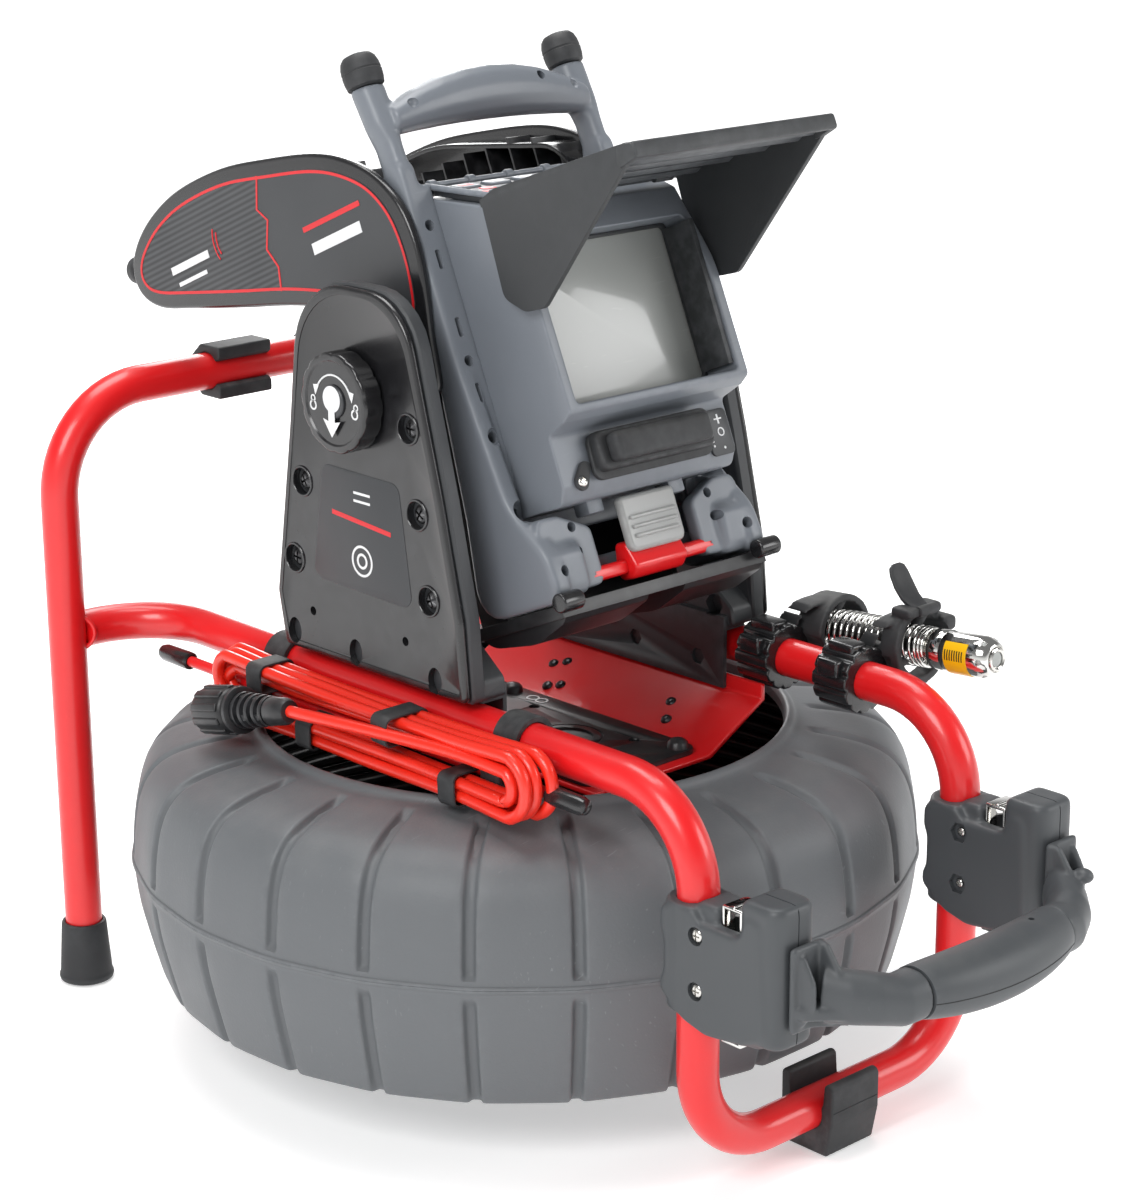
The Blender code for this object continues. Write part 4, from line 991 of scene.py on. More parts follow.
SCREWS = ((-40, 381), (52, 336), (-46, 335), (61, 290), (-54, 289))
DRAIN = ((46, 262), (-34, 262))
OVALS = ((9, 246), (-58, 245), (63, 247))
for name, side in SIDES:
    wells = [rod((side * 130, y, z), (side * 112.0, y, z), 7.6, None, 36) for y, z in SCREWS]
    holes = [rod((side * 130, y, z), (side * 80, y, z), 2.6, None, 20) for y, z in DRAIN]
    ovals = [moved(rod((0, 0, -24), (0, 0, 24), 5.6, None, 28),
                   facing(side * 116, y, z, side) @ Matrix.Diagonal((1.35, 1, 1, 1))) for y, z in OVALS]
    axle = rod((side * 60, 5, 390), (side * 130, 5, 390), 6.0) if side < 0 else rod((88, 5, 390), (100, 5, 390), 6.0)
    cover = softened(prism(plate_outline(1.2), *span(side, 113.5, 118.0)), 2.2, 4, 60)
    field = softened(prism(plate_outline(5.6), *span(side, 117.4, 120.0)), 0.5, 2, 60)
    cover = cut(cover, field, *wells, *holes, *ovals, *([axle] if side < 0 else []))
    piece("cover_" + name, cover, gloss_black, "frame", replaces=["dock_cover_" + name])
    rims = [ring((side * 117.6, y, z), 7.5, 8.9, 1.3, (1, 0, 0), 40, 0.3) for y, z in SCREWS]
    piece("well_rims_" + name, together(*rims), gloss_black, "frame")
    screws = [cross_screw(facing(side * 113.3, y, z, side) @ Matrix.Rotation(0.5 * i, 4, "Z"))
              for i, (y, z) in enumerate(SCREWS)]
    piece("cover_screws_" + name, together(*screws), dark_screw, "frame")
    shell = refined("dock_shell_" + name, 2.2, 4)
    cutters = []
    if side > 0:
        cutters = [moved(hexagon(facing(89, y, z, -side), 12, 9), MACHINE)
                   for y, z in ((-10, 247), (-68, 247), (38, 300), (-40, 330))]
        cutters += [moved(hexagon(facing(85, y, 214, -side), 9, 3.2), MACHINE) for y in (-58, -6, 48)]
    shell = cut(shell, *cutters) if cutters else shell
    piece("stand_shell_" + name, shell, charcoal_grain, "frame", STILL, ["dock_shell_" + name])

# %% [markdown]
# ### Labels on the covers
# A label is a thin plate with round corners, set 0.3 mm proud of the sunk field.  The prints on it are generic: a red
# bar and a plain lens symbol.

# %% Labels
label_outline = rounded([(44, 283, 7), (34, 350, 7), (-31, 349, 7), (-41, 281, 7)], 8)
for name, side in SIDES:
    face = side * 117.2
    piece("cover_label_" + name, softened(prism(label_outline, *sorted((face, face + side * 0.45))), 0.15, 2, 60),
          label_dark, "frame")
    print_x = face + side * 0.45
    bar = prism([(26, 322.5), (-24, 318.5), (-24, 321.2), (26, 325.2)], *sorted((print_x, print_x + side * 0.12)))
    piece("label_bar_" + name, bar, print_red, "frame")
    lens_print = [ring((print_x, 1, 300), r, r + w, 0.25, (1, 0, 0), 48, 0.05) for r, w in ((3, 1.5), (7.5, 1.4))]
    ticks = [prism([(y - 7, z - 0.7), (y + 7, z - 0.7), (y + 7, z + 0.7), (y - 7, z + 0.7)],
                   *sorted((print_x, print_x + side * 0.12))) for y, z in ((0, 338), (0, 333.5))]
    piece("label_symbol_" + name, together(*lens_print, *ticks), print_white, "frame")

# %% [markdown]
# ### The tilt knob
# The knob's rim has fourteen shallow scallops.  Its face is sunk, with a pale arrow and an arc over it that shows
# which way it turns, between a closed and an open ring.

# %% Knob
LOBES = 14
knob_outline = []
for i in range(LOBES * 8):
    angle = math.tau * i / (LOBES * 8)
    radius = 27.2 + 0.8 * abs(math.cos(LOBES * angle / 2)) ** 0.6 * 1.2 - 0.4
    knob_outline.append((5 + radius * math.cos(angle), 390 + radius * math.sin(angle)))
knob = softened(prism(knob_outline, -131.8, -119.0), 1.6, 4, 60)
dish = turned([(0, 0), (22.6, 0), (23.6, 0.9), (23.6, 4), (0, 4)], 64, facing(-130.9, 5, 390, -1))
neck = rod((-119.5, 5, 390), (-117.9, 5, 390), 21, None, 48)
shaft = rod((-121, 5, 390), (-88.2, 5, 390), 5.0)
piece("tilt_knob_shaped", together(cut(knob, dish), neck, shaft), gloss_black, "knob", replaces=["tilt_knob"])

KNOB_FACE = -130.9
button = turned([(0, -0.1), (9.2, -0.1), (9.2, 0.9), (8.6, 1.5), (0, 1.7)], 48, facing(KNOB_FACE, 5, 391, -1))
piece("knob_button", button, label_dark, "knob")
arrow = [(2.6, 392), (2.6, 380), (7.2, 381), (0 + 5 - 5, 371.5), (-7.2, 381), (-2.6, 380), (-2.6, 392)]
arrow = [(5 + a, b) for a, b in arrow]
knob_prints = [prism(arrow, KNOB_FACE - 2.0, KNOB_FACE - 1.75)]
disc = turned([(0, 0), (7.2, 0), (7.2, 0.2), (0, 0.2)], 48, facing(KNOB_FACE - 1.6, 5, 392.5, -1))
arc = bmesh.new()
bmesh.ops.create_circle(arc, segments=8, radius=0.55,
                        matrix=Matrix.Translation((15.4, 0, 0)) @ Matrix.Rotation(math.pi / 2, 4, "X"))
bmesh.ops.spin(arc, geom=arc.verts[:] + arc.edges[:], cent=(0, 0, 0), axis=(0, 0, 1), angle=math.radians(118),
               steps=32)
moved(arc, Matrix.Rotation(math.radians(31), 4, "Z"))
moved(arc, Matrix.Translation((KNOB_FACE - 0.15, 5, 390)) @ Matrix(((0, 0, 1, 0), (1, 0, 0, 0), (0, 1, 0, 0),
                                                                   (0, 0, 0, 1))))
heads = []
for sign in (1, -1):
    tip = [(5 + sign * 15.4, 392.5), (5 + sign * 12.2, 398.6), (5 + sign * 17.2, 398.0)]
    heads.append(prism(tip, KNOB_FACE - 0.3, KNOB_FACE))
locks = []
for sign in (1, -1):
    locks.append(ring((KNOB_FACE - 0.1, 5 + sign * 17.6, 386.5), 1.9, 2.9, 0.4, (1, 0, 0), 28, 0.05))
    locks.append(ring((KNOB_FACE - 0.1, 5 + sign * (17.6 if sign > 0 else 18.6), 390.3), 1.2, 2.0, 0.4, (1, 0, 0),
                      28, 0.05))
piece("knob_prints", together(*knob_prints, disc, arc, *heads, *locks), print_white, "knob", sharp=60)

# %% [markdown]
# ### Bracket and hub plate
# The bracket is 3 mm sheet with folded flanks.  The hub plate on it closes the drum's spindle and carries four rubber
# domes, a shallow ring recess and the gland where the monitor's cable comes out.

# %% Bracket, hub plate and their fasteners
piece("bracket_sheet", refined("dock_bracket", 1.0, 3), red_paint, "frame", STILL, ["dock_bracket"])
hub = refined("hub_plate", 0.7, 3)
hub_cuts = [moved(item, MACHINE) for item in (
    rod((24, 18, 176.8), (24, 18, 182), 3.4), rod((25, -66, 176.8), (25, -66, 182), 3.4),
    rod((-26, -60, 176.8), (-26, -60, 182), 3.4), ring((2, -34, 179), 19.6, 21.0, 3.0, (0, 0, 1), 56, 0.1))]
piece("hub_plate_shaped", cut(hub, *hub_cuts), black_plastic, "frame", STILL, ["hub_plate"])
badge = together(ring((34, 30, 178.7), 3.0, 4.1, 0.5, (0, 0, 1), 32, 0.1),
                 ring((34, 22.4, 178.7), 3.0, 4.1, 0.5, (0, 0, 1), 32, 0.1))
piece("plate_symbol", badge, print_white, "frame")
slope_rivets = []
for side in (-1, 1):
    for x, y, z in ((69, 49, 188), (73, 41, 190), (53.5, 38, 180.2), (57, 30, 181.6), (69, -52, 188), (57, -60, 182)):
        tilt = Matrix.Rotation(-side * math.radians(29), 4, "Y")
        head = turned([(0, -1), (3.4, -1), (3.4, 0.8), (2.6, 2.0), (1.2, 2.5), (0, 2.6)], 24)
        slope_rivets.append(moved(head, Matrix.Translation((side * x, y, z - 0.6)) @ tilt))
piece("bracket_rivets", together(*slope_rivets), dark_screw, "frame")
edge_clip = softened(block((-82, -100, 192.5), (-71, -82, 196.5)), 0.8)
piece("bracket_pad", moved(edge_clip, Matrix.Translation((0, 0, 2))), black_plastic, "frame")

# %% [markdown]
# ## Feet and clips
# Rubber cups close the legs, and C-shaped clips on the tubes hold coiled cables.

# %% Feet and clips
for name, side in SIDES:
    cup = turned([(0, 0), (14.4, 0), (16.0, 0.8), (16.6, 2.6), (16.4, 4.0), (15.9, 5.0), (15.7, 6.4), (13.6, 36.6),
                  (13.0, 37.8), (11.6, 38), (11.4, 34), (11.4, 8), (0, 8)], 56,
                 Matrix.Translation((side * LEG_X, LEG_Y, 0)))
    piece("foot_cup_" + name, cup, black_rubber, "frame", replaces=["foot_" + name])
    clip = refined("rear_bar_clip_" + name, 1.6, 4, 25)
    piece("rear_clip_" + name, clip, black_rubber, "frame", STILL, ["rear_bar_clip_" + name])
low_y, high_y = FRONT_Y - 17.5, FRONT_Y + 17.5
saddle_outline = rounded([(low_y + 3, 0.2, 1.5), (low_y - 1, 20, 3), (low_y - 1, 42, 3.4), (low_y + 5.2, 43, 3),
                          (low_y + 6.2, 30, 4), (FRONT_Y, 9, 11.4), (high_y - 6.2, 30, 4), (high_y - 5.2, 43, 3),
                          (high_y + 1, 42, 3.4), (high_y + 1, 20, 3), (high_y - 3, 0.2, 1.5)], 7)
saddle = softened(prism(saddle_outline, -19, 19), 1.5, 3, 60)
tube_bore = rod((-30, FRONT_Y, BAR_Z), (30, FRONT_Y, BAR_Z), TUBE_R + 0.25, None, 48)
treads = [block((x - 0.7, low_y - 5, -1), (x + 0.7, high_y + 5, 1.4)) for x in range(-15, 16, 5)]
seam = [block((-18, low_y - 2, 26.6), (18, low_y - 0.75, 27.2))]
piece("front_bar_saddle", cut(saddle, tube_bore, *treads, *seam), black_rubber, "frame", replaces=["front_bar_clip"])
# %% [markdown]
# ## The monitor
# The monitor's grey frame has two side members, horns with rubber caps and a carry grip between them, all in one
# moulding with soft fillets.  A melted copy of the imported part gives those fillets, and the screw holes and slots
# are cut afterwards, so that their edges stay crisp.

# %% Monitor frame with its holes
member_front = [(46.2, -40), (45.6, -10), (46.0, 40), (46.4, 90), (46.8, 140), (60, 140), (60, -40), (50, -60)]
copy = bmesh.new()
copy.from_mesh(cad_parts["monitor_frame"].data)
bmesh.ops.remove_doubles(copy, verts=copy.verts, dist=0.000002)
moved(copy, MONITOR.inverted())
strips = [softened(prism(member_front, *span(side, 61.5, 72)), 1.0, 2, 30)
          for _, side in SIDES]
feet = [softened(prism(rounded([(20, -96, 6), (40, -96, 8), (46, -70, 10), (30, -62, 8), (18, -72, 6)], 5),
                       *span(side, 52, 79)), 3.0, 3, 60) for _, side in SIDES]
body = melted(copy, 1.15, 6, strips + feet)
holes = []
for _, side in SIDES:
    for z in (117, 41, -2, -45):
        holes.append(rod((side * 70.6, 20, z), (side * 70.6, 60, z), 3.2, None, 24))
        holes.append(rod((side * 70.6, 44.5, z), (side * 70.6, 30, z), 4.6, 9, 24))
    for z in (98, 60, 23):
        holes.append(softened(block((side * 70.6 - 1.7, 20, z - 5.4), (side * 70.6 + 1.7, 56, z + 5.4)), 1.0, 3))
    holes += [rod((side * 52, 6, z), (side * 52, 32, z), 2.9, None, 20) for z in (-73.5, -60)]
    holes.append(rod((side * 70, 0, -82), (side * 70, 36, -82), 3.2, None, 20))
    holes.append(ball((side * 60, 44, 184.5), 3.4))
holes.append(rod((34, 30, 190.5), (34, 56, 190.5), 2.9, None, 20))
piece("monitor_body", cut(body, *holes), monitor_plastic, "monitor", MONITOR, ["monitor_frame"], sharp=50,
      recalculate=False)

# %% Horn caps, wing bumpers and corner stops
for name, side in SIDES:
    cap = turned([(0, 0), (9.0, 0), (10.4, 1.0), (11.1, 4.5), (11.3, 8.4), (10.95, 8.8), (10.95, 9.4), (11.25, 9.8),
                  (10.9, 13.0), (9.9, 16.2), (8.2, 18.2), (5, 19.2), (0, 19.4)], 44,
                 between((side * 74, 62, 199), (side * 74, 63.4, 219)))
    piece("horn_cap_shaped_" + name, cap, black_rubber, "monitor", MONITOR, ["horn_cap_" + name])
    bumper = turned([(0, 0), (9, 0), (9.6, 1), (9.6, 3), (8.6, 4.4), (8.2, 8.2), (7, 9.8), (0, 10)], 36,
                    between((side * 76, 306.8, 166), (side * 76, 316, 168)))
    piece("wing_bumper_shaped_" + name, bumper, black_rubber, "monitor", MONITOR, ["wing_bumper_" + name])
    stop = rod((side * 68, 15.5, -98), (side * 83.6, 14.8, -98), 5.4, None, 28)
    piece("corner_stop_" + name, softened(stop, 1.2), gloss_black, "monitor", MONITOR)

# %% [markdown]
# ### Wings
# Each wing is a hollow black shell with a label let into its outer face.  A red line runs round the label, and a
# step in the line parts the plain field in front from a finely lined field behind.

# %% Wings and their labels
lined = surface("label_lined", "charcoal_plastic", srgb(70, 72, 75), 0.45, depth=0, wear_and_sheen=0.0, dust=0.05,
                scratches=0.2, mottle=0.05)
tree = lined.node_tree
place = add(tree, "ShaderNodeTexCoord").outputs["Object"]
turned_place = add(tree, "ShaderNodeMapping", inputs={"Vector": place, "Rotation": (LEAN, 0, 0)}).outputs[0]
waves = add(tree, "ShaderNodeTexWave", bands_direction="Z", inputs={"Vector": turned_place, "Scale": 95.0})
shader = tree.nodes["Principled BSDF"]
field = shader.inputs["Base Color"].links[0].from_socket
tree.links.new(mixed(tree, waves.outputs["Fac"], field, srgb(38, 39, 41)), shader.inputs["Base Color"])

WING = closed_curve([(60, 31), (54, 60), (46.5, 90), (44.5, 112), (50, 134), (65, 154), (87, 169), (112, 179),
                     (150, 188),
                     (195, 196), (240, 197), (272, 191), (295, 180), (306.5, 166), (304, 150), (288, 138), (258, 129.5),
                     (210, 117), (160, 104.5), (112, 88), (88, 72), (78, 54), (73, 33)])
divider = [(158, 200), (161.6, 180), (169.2, 164.2), (162.2, 156), (170.2, 141), (164.2, 129), (172, 100)]
widened = [(y + 1.5, z) for y, z in reversed(divider)]
label_edge = closed_curve([(60, 74), (55, 92), (54.5, 112), (59, 131), (71, 148), (91, 161.5), (115, 171),
                           (152, 179.5), (195, 187.6),
                           (238, 188.5), (268, 183), (289, 173), (297.5, 163), (295.5, 153), (283.5, 145.5),
                           (256, 137.8), (208, 125.5), (157, 112.7), (108, 96), (86, 84), (70, 72)])
for name, side in SIDES:
    low, high = span(side, 80.4, 86.0)
    hull = softened(prism(WING, low, high), 2.4, 4, 60)
    skirt = softened(prism(rounded([(67.5, 80, 5), (67.5, 156, 30), (190, 193, 140), (288, 183, 32),
                                    (301, 152, 14), (262, 132.5, 38), (141, 105, 50), (80, 75, 8)], 8),
                           *span(side, 62.0, 84.0)), 1.2, 3, 60)
    hollow = prism(rounded([(71, 84, 5), (71, 154, 24), (188, 190, 120), (286, 180, 28), (297.5, 154, 12),
                            (262, 136, 30), (142, 108.5, 40), (84, 80, 8)], 6), *span(side, 55, 82))
    shell = cut(combined(hull, [skirt], "UNION"), hollow)
    piece("wing_shell_" + name, shell, gloss_black, "monitor", MONITOR, ["wing_" + name])
    face = side * 86.0
    rear_region = prism(divider + [(340, 80), (340, 230)], *span(side, 80, 90))
    front_region = prism(divider + [(20, 20), (20, 230)], *span(side, 80, 90))
    thin = span(side, 85.8, 86.4)
    piece("wing_field_front_" + name, combined(prism(label_edge, *thin), [front_region], "INTERSECT"), label_dark,
          "monitor", MONITOR)
    piece("wing_field_rear_" + name, combined(prism(label_edge, *thin), [rear_region], "INTERSECT"), lined,
          "monitor", MONITOR)
    zigzag = combined(prism(label_edge, *span(side, 86.0, 86.62)), [prism(divider + widened, *span(side, 80, 90))],
                      "INTERSECT")
    piece("wing_red_line_" + name, together(stripe(label_edge, 0.3, 1.7, face, 0.65, side), zigzag), print_red,
          "monitor", MONITOR)
    arcs = []
    for radius, reach in ((15, 26), (18.4, 30)):
        arc = bmesh.new()
        bmesh.ops.create_circle(arc, segments=6, radius=0.5,
                                matrix=Matrix.Translation((radius, 0, 0)) @ Matrix.Rotation(math.pi / 2, 4, "X"))
        bmesh.ops.spin(arc, geom=arc.verts[:] + arc.edges[:], cent=(0, 0, 0), axis=(0, 0, 1),
                       angle=math.radians(2 * reach), steps=20)
        moved(arc, Matrix.Rotation(math.radians(-reach), 4, "Z"))
        moved(arc, Matrix.Translation((face + side * 0.45, 200, 157)) @ Matrix(((0, 0, 1, 0), (1, 0, 0, 0),
                                                                               (0, 1, 0, 0), (0, 0, 0, 1))))
        arcs.append(arc)
    piece("wing_arcs_" + name, together(*arcs), print_red, "monitor", MONITOR, sharp=70)
    bars = [prism([(y, z), (y + w, z), (y + w, z + h), (y, z + h)], *sorted((face, face + side * 0.62)))
            for y, z, w, h in ((80, 140, 54, 3.0), (84, 126, 46, 6.5), (226, 152, 40, 4.6), (232, 144, 30, 2.4))]
    whites = [bars[i] for i in (1, 2, 3)]
    piece("wing_white_bars_" + name, together(*whites), print_white, "monitor", MONITOR)
    piece("wing_red_bar_" + name, bars[0], print_red, "monitor", MONITOR)
    ribs = []
    for i in range(11):
        y = 74 + i * 20.5
        low_z, high_z = 96 + 0.16 * i * i + 3.4 * i, 170 + 2.6 * i - 0.22 * i * i
        ribs.append(block((min(side * 62.4, side * 82), y, low_z - 6), (max(side * 62.4, side * 82), y + 1.4, high_z)))
    outline = rounded([(69, 80, 5), (69, 159, 24), (189, 197.5, 120), (292, 188, 28), (302, 149.5, 12),
                       (262, 133.5, 30), (141.5, 106, 40), (83, 75.5, 8)], 5)
    ribs.append(prism([(70, 140), (296, 168), (296, 169.4), (70, 141.4)], *sorted((side * 62.4, side * 82))))
    pocket = prism(outline, *sorted((side * 58, side * 90)))
    piece("wing_ribs_" + name, combined(together(*ribs), [pocket], "INTERSECT"), black_plastic, "monitor", MONITOR)

# %% [markdown]
# ### Screen housing
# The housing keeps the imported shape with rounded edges.  A thin pale rim frames the screen deep in its recess, the
# inner right wall has a step, and the screen is a pale panel under a clear glossy sheet.

# %% Housing, rim and screen
housing = moved(refined("screen_housing", 1.5, 4, 30), MONITOR.inverted())
for vert in housing.verts:
    if abs(vert.co.x) > 62.5 and vert.co.y > -10:
        vert.co.x *= 1 - 0.085 * min(1.0, (vert.co.y + 10) / 50)
piece("housing", housing, monitor_plastic, "monitor", MONITOR, ["screen_housing"])
rim_outline = rounded([(-60.9, 0.1, 3), (60.9, 0.1, 3), (60.9, 90.9, 3), (-60.9, 90.9, 3)], 6)
rim_hole = rounded([(-58.8, 2.2, 3), (58.8, 2.2, 3), (58.8, 88.8, 3), (-58.8, 88.8, 3)], 6)
rim = cut(prism(rim_outline, 6.6, 9.2, "Y"), prism(rim_hole, 0, 20, "Y"))
piece("screen_rim", softened(rim, 0.5, 2, 60), visor_plastic, "monitor", MONITOR)
steps = [softened(block((57.2, -15.5, 4), (60.9, 5.5, 87)), 0.6, 2),
         softened(block((59.0, -10, 12), (60.9, -6, 80)), 0.5, 2)]
piece("recess_steps", together(*steps), visor_plastic, "monitor", MONITOR)

screen_cover = bpy.data.materials.new("screen_cover_sheet")
screen_cover.use_nodes = True
tree = screen_cover.node_tree
shader = tree.nodes["Principled BSDF"]
place = add(tree, "ShaderNodeTexCoord").outputs["Object"]
cloud = add(tree, "ShaderNodeTexNoise", inputs={"Vector": place, "Scale": 9.0, "Detail": 2.0}).outputs["Fac"]
tint = mixed(tree, cloud, srgb(146, 149, 147), srgb(164, 166, 163))
smears = grouped(tree, scratch_group, place, 0.25)
tree.links.new(mixed(tree, smears, tint, srgb(190, 191, 189)), shader.inputs["Base Color"])
rough = add(tree, "ShaderNodeMapRange", inputs={"Value": cloud, "To Min": 0.16, "To Max": 0.3}).outputs[0]
tree.links.new(rough, shader.inputs["Roughness"])
shader.inputs["Coat Weight"].default_value = 0.5
shader.inputs["Coat Roughness"].default_value = 0.06
glass = prism(rounded([(-60.4, 0.6, 3), (60.4, 0.6, 3), (60.4, 90.4, 3), (-60.4, 90.4, 3)], 6), 9.3, 11.6, "Y")
piece("screen", softened(glass, 0.4, 2, 60), screen_cover, "monitor", MONITOR, ["screen_window"])

# %% [markdown]
# ### Keypad
# The keys sit on the sloped top behind a low guard rail with round knuckles.  Their faces carry simple pale and red
# blocks.

# %% Keypad and guard rail
pad = refined("keypad", 0.5, 2)
piece("keypad_panel", pad, label_dark, "monitor", STILL, ["keypad"])
KEYS = {"key_power": (-44, 41, 8, 5.5), "key_menu": (-22, 41, 8, 5.5), "key_lamp": (0, 41, 8, 5.5),
        "key_record": (22, 41, 8, 5.5), "key_select": (0, 20, 22, 6.5)}
for name, (x, y, half_x, half_y) in KEYS.items():
    button = {"key_power": "power_button", "key_menu": "menu_button", "key_lamp": "lamp_button",
              "key_record": "record_button", "key_select": "select_button"}[name]
    piece(name + "_cap", refined(name, 0.8, 3), monitor_plastic, button, STILL, [name])
    mark = softened(block((x - half_x * 0.55, y - half_y * 0.4, 5.5), (x + half_x * 0.55, y + half_y * 0.4, 5.75)), 0.1,
                    1, 60)
    piece(name + "_print", mark, print_red if name in ("key_power", "key_record") else print_white, button, DECK)
rails, knuckles = [], []
for y in (4.0, 55.5):
    rails.append(rod((-60, y, 5.2), (60, y, 5.2), 1.7, None, 20))
for x in (-60, 60):
    rails.append(rod((x, 4.0, 5.2), (x, 55.5, 5.2), 1.7, None, 20))
for x in (-56, -28, 0, 28, 56):
    for y in (4.0, 55.5):
        knuckles.append(softened(rod((x - 2.6, y, 5.2), (x + 2.6, y, 5.2), 3.0, None, 24), 0.6, 2))
        knuckles.append(softened(block((x - 1.6, y - 1.6, 0.2), (x + 1.6, y + 1.6, 5)), 0.4, 2))
piece("keypad_guard", together(*rails, *knuckles), monitor_plastic, "monitor", DECK)
tiles = []
for i, x in enumerate((-44, -30, 34, 46, -38, 40)):
    y = 20 if i < 4 else 30
    tiles.append(softened(block((x - 4.5, y - 3.2, 4.2), (x + 4.5, y + 3.2, 4.55)), 0.15, 1, 60))
piece("keypad_tiles", together(*tiles), print_red, "monitor", DECK)
lines = [softened(block((-54, y, 4.2), (54, y + 0.8, 4.5)), 0.1, 1, 60) for y in (10.2, 31.8, 50.6)]
piece("keypad_lines", together(*lines), print_white, "monitor", DECK)

# %% [markdown]
# ### Sun visor
# The visor is a stepped lid with two side flaps, hinged over the screen.  A rolled rim stiffens its front edge, and
# three slats below it are given a paler grey than the lid, a painted highlight.

# %% Visor
visor = refined("sun_visor", 1.1, 4, 25)
piece("visor_lid", visor, visor_plastic, "visor", STILL, ["sun_visor"])
lip = [softened(block((-74.6, -124.2, 102.6), (74.6, -119.4, 111.2)), 1.9, 4)]
for side in (-1, 1):
    x0, x1 = sorted((side * 69.6, side * 74.8))
    corner = rounded([(-123.5, 103, 2), (-123.5, 110.6, 3), (-112, 112.6, 3), (-108, 100.5, 2)], 5)
    lip.append(softened(prism(corner, x0, x1), 0.8, 2, 60))
piece("visor_lip", together(*lip), visor_plastic, "visor", MONITOR)
slats = []
for y, z in ((-112.5, 105.0), (-101, 105.2), (-76, 107.6), (-48, 110.2), (-22, 112.0)):
    slats.append(softened(moved(block((-69, -2.6, -0.9), (69, 2.6, 0.9)),
                                Matrix.Translation((0, y, z)) @ Matrix.Rotation(math.radians(-18), 4, "X")), 0.5, 2))
# Painted highlight: the slats take the paler handle grey instead of the visor's own grey.
piece("visor_slats", together(*slats), handle_plastic, "visor", MONITOR)
hinges = [softened(rod((x - 7, -14.5, 112.6), (x + 7, -14.5, 112.6), 3.0, None, 24), 0.7, 2) for x in (-48, 0, 48)]
piece("visor_hinges", together(*hinges), visor_plastic, "visor", MONITOR)

# %% [markdown]
# ### Port cover, latch and release lever
# A rubber cover with a raised block closes the ports and is held by a screw through its tab.  Below it the pale
# latch has three grip ribs, and a red lever looks out under it.

# %% Small fittings on the front
cover = refined("port_cover", 1.8, 4)
pad_block = moved(softened(block((-38, -14.5, -34), (34, -4, -18)), 3.4, 4), MONITOR)
flange = moved(softened(prism(rounded([(-45, -41, 6), (45, -41, 6), (44, -15.5, 6), (-44, -15.5, 6)], 6), 1.5, 4.6, "Y"),
                        0.7, 2, 60), MONITOR)
piece("port_cover_shaped", together(cover, pad_block, flange), black_rubber, "port_flap", STILL, ["port_cover"])
tab = softened(prism(rounded([(-52, -46, 5), (-44, -30, 4), (-50, -28, 4), (-60, -40, 5)], 5), 3.2, 6.0, "Y"), 0.6, 2,
               60)
piece("port_tab", tab, black_rubber, "monitor", MONITOR)
piece("port_tab_screw", cross_screw(Matrix.Translation((-54, 3.4, -39)) @ Matrix.Rotation(math.pi / 2, 4, "X"), 3.1,
                                    1.8), bright_steel, "monitor", MONITOR)
plate = softened(prism(rounded([(46.5, -43, 3), (64, -43, 3), (64, -17, 3), (46.5, -17, 3)], 5), 4.8, 6.4, "Y"), 0.3, 2,
                 60)
piece("port_label", plate, label_dark, "monitor", MONITOR)
marks = [ring((56.5, 4.7, -30), 1.8, 2.5, 0.3, (0, 1, 0), 28, 0.05), ball((56.5, 4.8, -39), 0.8, (1, 0.3, 1)),
         block((55.9, 4.65, -25.5), (57.1, 4.8, -20)), block((53.6, 4.65, -23), (59.4, 4.8, -22.2))]
piece("port_marks", together(*marks), print_white, "monitor", MONITOR)
dots = [ball((47.6, 3.6, -19 - 2.6 * i), 0.75, (1, 0.5, 1), 10) for i in range(8)]
piece("speaker_dots", together(*dots), print_white, "monitor", MONITOR)

latch_plate = refined("latch", 1.2, 4)
ribs = [moved(softened(block((-17 + 0.4 * i, 14.2, -64.5 - 5.2 * i), (17 - 0.4 * i, 17, -62.3 - 5.2 * i)), 0.7, 2),
              MONITOR) for i in range(3)]
piece("latch_shaped", together(latch_plate, *ribs), surface("latch_grey", "monitor_plastic", srgb(150, 151, 150), 0.3,
      grain=1500, depth=0.000008, wear_and_sheen=0.3, dust=0.03), "front_latch", STILL, ["latch"])
lever = prism(rounded([(17, -90, 3), (22, -76, 3), (31, -74, 3), (35, -88, 4), (34, -95, 4), (24, -96, 5)], 6), -20, 20)
arm_left = softened(block((-62, 24, -92), (-19, 33, -84)), 2.6, 3)
arm_right = softened(block((19, 24, -92), (62, 33, -84)), 2.6, 3)
piece("release_lever_shaped", together(softened(lever, 2.2, 4, 50), arm_left, arm_right), red_plastic, "release",
      CRADLE, ["release_lever"])
lugs = [softened(block((x - 6, 24, -56), (x + 6, 36, -44)), 1.5, 2) for x in (-31, 31)]
piece("latch_lugs", together(*lugs), monitor_plastic, "monitor", MONITOR)
piece("cradle_shaped", refined("dock_cradle", 1.4, 4), black_plastic, "cradle", STILL, ["dock_cradle"])
piece("battery_shaped", refined("battery_pack", 1.0, 2), black_plastic, "battery", STILL, ["battery_pack"])
# %% [markdown]
# ## The front handle
# Each clamp is one thick moulding: a boss round the tube, a valley where a folded steel strap lies, and a round-backed
# block in front.  The overlapping solids are melted together to get the soft fillets, then wells are cut for screws.

